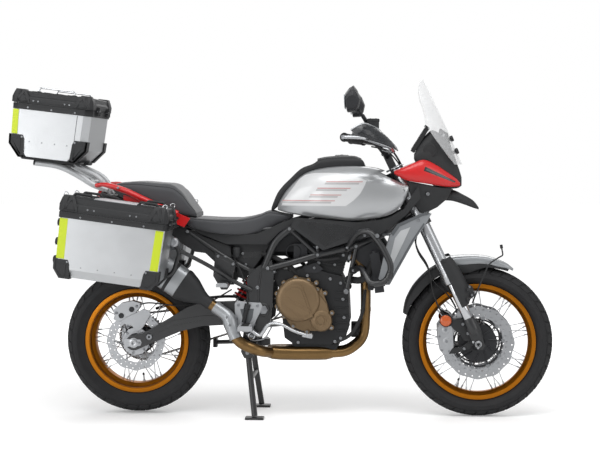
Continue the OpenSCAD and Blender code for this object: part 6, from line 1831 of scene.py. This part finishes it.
# Footpegs with their hangers, the master cylinder and the heel guard
t = Part()
t.plate([(446, 500), (456, 514), (500, 508), (560, 505), (566, 494), (558, 466), (540, 430),
         (522, 388), (506, 376), (478, 378), (468, 392), (448, 428)], 140.6, 150, 0)
t.plate([(470, 478), (530, 480), (524, 440), (508, 410), (488, 412)], 149.6, 151.4, 4)
t.bolts(((462, 496), (546, 492), (486, 396), (508, 396), (454, 436)), 150, 7, 1, 4)
t.cyl((505, 150, 404), (505, 173, 404), 11, 0)
t.lathe([(13, 152), (15, 154), (15, 168), (13, 170)], (505, 0, 404), Y, 2, 24)
t.plate([(470, 392), (532, 392), (532, 410), (524, 414), (478, 414), (470, 410)], 168, 254, 0)
for k in range(8):
    t.plate([(472 + (k % 2) * 4, 412), (480 + (k % 2) * 4, 412), (478 + (k % 2) * 4, 419),
             (474 + (k % 2) * 4, 419)], 172 + k * 10, 177 + k * 10, 0)
    t.plate([(520 - (k % 2) * 4, 412), (528 - (k % 2) * 4, 412), (526 - (k % 2) * 4, 419),
             (522 - (k % 2) * 4, 419)], 172 + k * 10, 177 + k * 10, 0)
t.plate([(484, 410), (518, 410), (518, 417), (484, 417)], 174, 250, 2)
t.plate([(360, 722), (450, 676), (430, 590), (412, 560), (385, 560), (350, 620)], 123.6, 132.6, 3)
t.plate([(376, 700), (434, 670), (420, 612), (396, 610), (372, 640)], 132, 134, 3)
t.bolts(((372, 706), (438, 672), (398, 574)), 132.6, 6.5, 1, 4)
t.cyl((400, 132, 586), (400, 150, 586), 9, 0)
t.plate([(372, 577), (422, 577), (422, 590), (414, 595), (380, 595), (372, 590)], 148, 213, 0)
t.plate([(382, 592), (412, 592), (412, 598), (382, 598)], 152, 210, 2)
t.mirror()
t.make("peg_hangers", "alloy screw rubber frame shroud2", of="footpegs", slot="peg_steel",
       bevel=0.002, smooth=36)
t = Part()
t.tube([(486, -158, 420), (498, -158, 476)], 9, 0, 20)
t.tube([(498, -158, 476), (504, -156, 500)], 13, 0, 20)
t.tube([(482, -158, 400), (486, -158, 422)], 4, 1, 12)
t.tube(rounded([(504, -150, 500), (500, -140, 560), (470, -128, 640), (440, -118, 700)], 40, 6),
       4.4, 2, 10)
t.lathe([(0.1, 744), (15, 744), (17, 741), (17, 708), (12, 700), (0.1, 700)], (452, -118, 0), Z, 0,
        28)
t.make("master_cylinder", "black screw rubber", slot="trim_black", bevel=0.0008)
t = Part()
pedal = rounded([(505, -168, 404), (540, -172, 372), (560, -176, 364), (600, -190, 424),
                 (650, -206, 422), (712, -208, 388), (764, -208, 374)], 26, 7)
t.tube(pedal, [12 - 4 * i / (len(pedal) - 1) for i in range(len(pedal))], 0, 16, flat=0.8)
t.plate([(744, 368), (786, 360), (790, 372), (786, 380), (748, 378)], -226, -192, 0)
for k in range(5):
    t.plate([(750 + k * 8, 378), (754 + k * 8, 378), (753 + k * 8, 383), (751 + k * 8, 383)], -224,
            -194, 0)
t.lathe([(11, -158), (16, -160), (16, -176), (11, -178)], (522, 0, 364), Y, 0, 26)
t.bolt((522, -178, 364), (0, -1, 0), 8, 1, 4)
t.tube(rounded([(500, -166, 372), (520, -170, 340), (580, -176, 350), (610, -180, 404)], 20, 6),
       3.2, 1, 10)
gear = rounded([(522, 160, 364), (640, 196, 372), (752, 206, 386)], 30, 6)
t.tube(gear, 7, 0, 14, flat=0.8)
t.cyl((752, 200, 386), (752, 230, 386), 10, 2, 24)
t.lathe([(9, 148), (14, 150), (14, 168), (9, 170)], (522, 0, 364), Y, 0, 24)
t.tube([(560, 176, 372), (640, 150, 452)], 3.6, 1, 10)
t.make("pedals", "fork_silver screw rubber", of="foot_levers", slot="peg_steel", bevel=0.0012,
       smooth=44)

# Windows and seams of the side shrouds, hoses and small plates behind them
t = Part()
t.plate([(1140, 790), (1164, 822), (1206, 838), (1176, 772), (1128, 672), (1116, 690)], 189.4, 192,
        0)
t.plate([(1122, 810), (1150, 850), (1252, 897), (1292, 899), (1276, 890), (1256, 886), (1160, 840),
         (1132, 800)], 186, 193, 1)
t.plate([(1092, 592), (1116, 592), (1222, 784), (1266, 850), (1262, 856), (1214, 786), (1110, 600),
         (1094, 600)], 188, 191.4, 1)
t.bolts(((1108, 610), (1240, 868)), 190, 6, 2, 3)
t.mirror().make("shroud_windows", "rack shroud2 screw", slot="shroud_grey", bevel=0.0015)
t = Part()
t.cyl((1172, 162, 880), (1172, 178, 884), 9, 1)
t.tube(rounded([(700, -116, 690), (760, -124, 700), (840, -128, 690), (900, -124, 700)], 30, 5), 7,
       0, 12)
t.tube(rounded([(690, 108, 700), (760, 120, 712), (860, 124, 700), (940, 118, 690)], 30, 5), 6, 0,
       12)
t.box((700, -108, 690), (760, 108, 760), 2)
for s in (1, -1):
    t.plate([(950, 780), (1040, 796), (1092, 742), (1084, 640), (1046, 560), (1024, 560),
             (1016, 660), (962, 700)], s * 118 - 3, s * 118 + 3, 2)
t.rings([[(x, y, z) for y, z in ((-w, 724), (-w, 836), (-w + 22, 850), (w - 22, 850), (w, 836),
                                 (w, 724), (w - 16, 704), (16 - w, 704))] for x, w in ((566, 62),
        (580, 78), (850, 90), (872, 76))], 2)
for s in (-1, 1):
    t.lathe([(30, 110), (34, 108), (34, 60), (26, 50)], (700, 0, 724), (0, s, 0), 2, 32)
for s in (1, -1):
    t.plate([(740, 660), (800, 680), (830, 650), (800, 632), (752, 636)], s * 112 - 4, s * 112 + 4,
            2)
    t.bolt((790, s * 116, 656), (0, s, 0), 6, 1, 4)
t.make("throttle_bodies", "rubber screw dark", slot="trim_black", bevel=0.002)

# ---------- Floor, light and camera ----------

def put(tree, kind, **values):
    """A new node with these input values."""
    node = tree.nodes.new("ShaderNode" + kind)
    for key, value in values.items():
        node.inputs[key.replace("_", " ")].default_value = value
    return node


def wire(tree, *pairs):
    for a, b in pairs:
        tree.links.new(a, b)


WHITE = (1, 1, 1, 1)
floor_mesh = bpy.data.meshes.new("floor")
floor_mesh.from_pydata([(-30, -30, 0), (30, -30, 0), (30, 30, 0), (-30, 30, 0)], [], [(0, 1, 2, 3)])
floor = bpy.data.objects.new("floor", floor_mesh)
floor_mat = bpy.data.materials.new("pale_floor")
floor_mat.use_nodes = True
ft = floor_mat.node_tree
matt = ft.nodes["Principled BSDF"]
matt.inputs["Base Color"].default_value = (0.86, 0.86, 0.86, 1)
matt.inputs["Roughness"].default_value = 0.7
# White far out, and less light of its own near the middle, where the object's shadow falls
em = put(ft, "Emission", Color=WHITE)
place = put(ft, "TexCoord")
away = put(ft, "VectorMath")
away.operation = "LENGTH"
glow = put(ft, "MapRange", From_Min=0.9, From_Max=3.2, To_Min=0.2, To_Max=0.56)
glow.interpolation_type = "SMOOTHSTEP"
lp, lit, mixed = put(ft, "LightPath"), put(ft, "AddShader"), put(ft, "MixShader")
wire(ft, (place.outputs["Object"], away.inputs[0]), (away.outputs["Value"], glow.inputs["Value"]),
     (glow.outputs["Result"], em.inputs["Strength"]), (matt.outputs[0], lit.inputs[0]),
     (em.outputs[0], lit.inputs[1]), (lp.outputs["Is Camera Ray"], mixed.inputs[0]),
     (matt.outputs[0], mixed.inputs[1]), (lit.outputs[0], mixed.inputs[2]),
     (mixed.outputs[0], ft.nodes["Material Output"].inputs[0]))
floor_mesh.materials.append(floor_mat)
bpy.context.scene.collection.objects.link(floor)

world = bpy.data.worlds.new("studio")
world.use_nodes = True
wt = world.node_tree
bg = wt.nodes["Background"]
bg.inputs["Color"].default_value = WHITE
bg.inputs["Strength"].default_value = 0.55
white = put(wt, "Background", Color=WHITE, Strength=1.0)
wl, wm = put(wt, "LightPath"), put(wt, "MixShader")
wire(wt, (wl.outputs["Is Camera Ray"], wm.inputs[0]), (bg.outputs[0], wm.inputs[1]),
     (white.outputs[0], wm.inputs[2]), (wm.outputs[0], wt.nodes["World Output"].inputs[0]))
bpy.context.scene.world = world


def lamp(name, loc, to, size, power):
    d = bpy.data.lights.new(name, "AREA")
    d.shape, d.size, d.size_y, d.energy = "RECTANGLE", size[0], size[1], power
    ob = bpy.data.objects.new(name, d)
    ob.location = loc
    ob.rotation_euler = (Vector(to) - Vector(loc)).to_track_quat("-Z", "Y").to_euler()
    bpy.context.scene.collection.objects.link(ob)


lamp("key", (0.3, -2.0, 4.2), (0, 0, 0.6), (4.5, 2.2), 120)
lamp("side", (-3.4, -2.6, 2.0), (0, 0, 0.7), (2.0, 2.6), 45)
lamp("front", (4.0, -1.8, 1.8), (0.3, 0, 0.7), (2.0, 2.4), 26)
lamp("strip", (-2.5, -4.6, 0.9), (-0.9, -0.4, 0.9), (0.8, 2.4), 26)
lamp("back", (0.0, 3.6, 2.8), (0, 0, 0.7), (4.0, 2.0), 55)

CAMERA_AT, CAMERA_LENS = (1162, -6481, 1125), 88.3
yaw, pitch = radians(3.90), radians(-2.54)
look = Vector((-sin(yaw) * cos(pitch), cos(yaw) * cos(pitch), sin(pitch)))
cam_data = bpy.data.cameras.new("camera")
cam_data.sensor_width, cam_data.lens = 36.0, CAMERA_LENS
cam = bpy.data.objects.new("camera", cam_data)
cam.location = bike(CAMERA_AT)
cam.rotation_euler = look.to_track_quat("-Z", "Y").to_euler()
bpy.context.scene.collection.objects.link(cam)
bpy.context.scene.camera = cam
bpy.context.scene.view_settings.view_transform = "Standard"
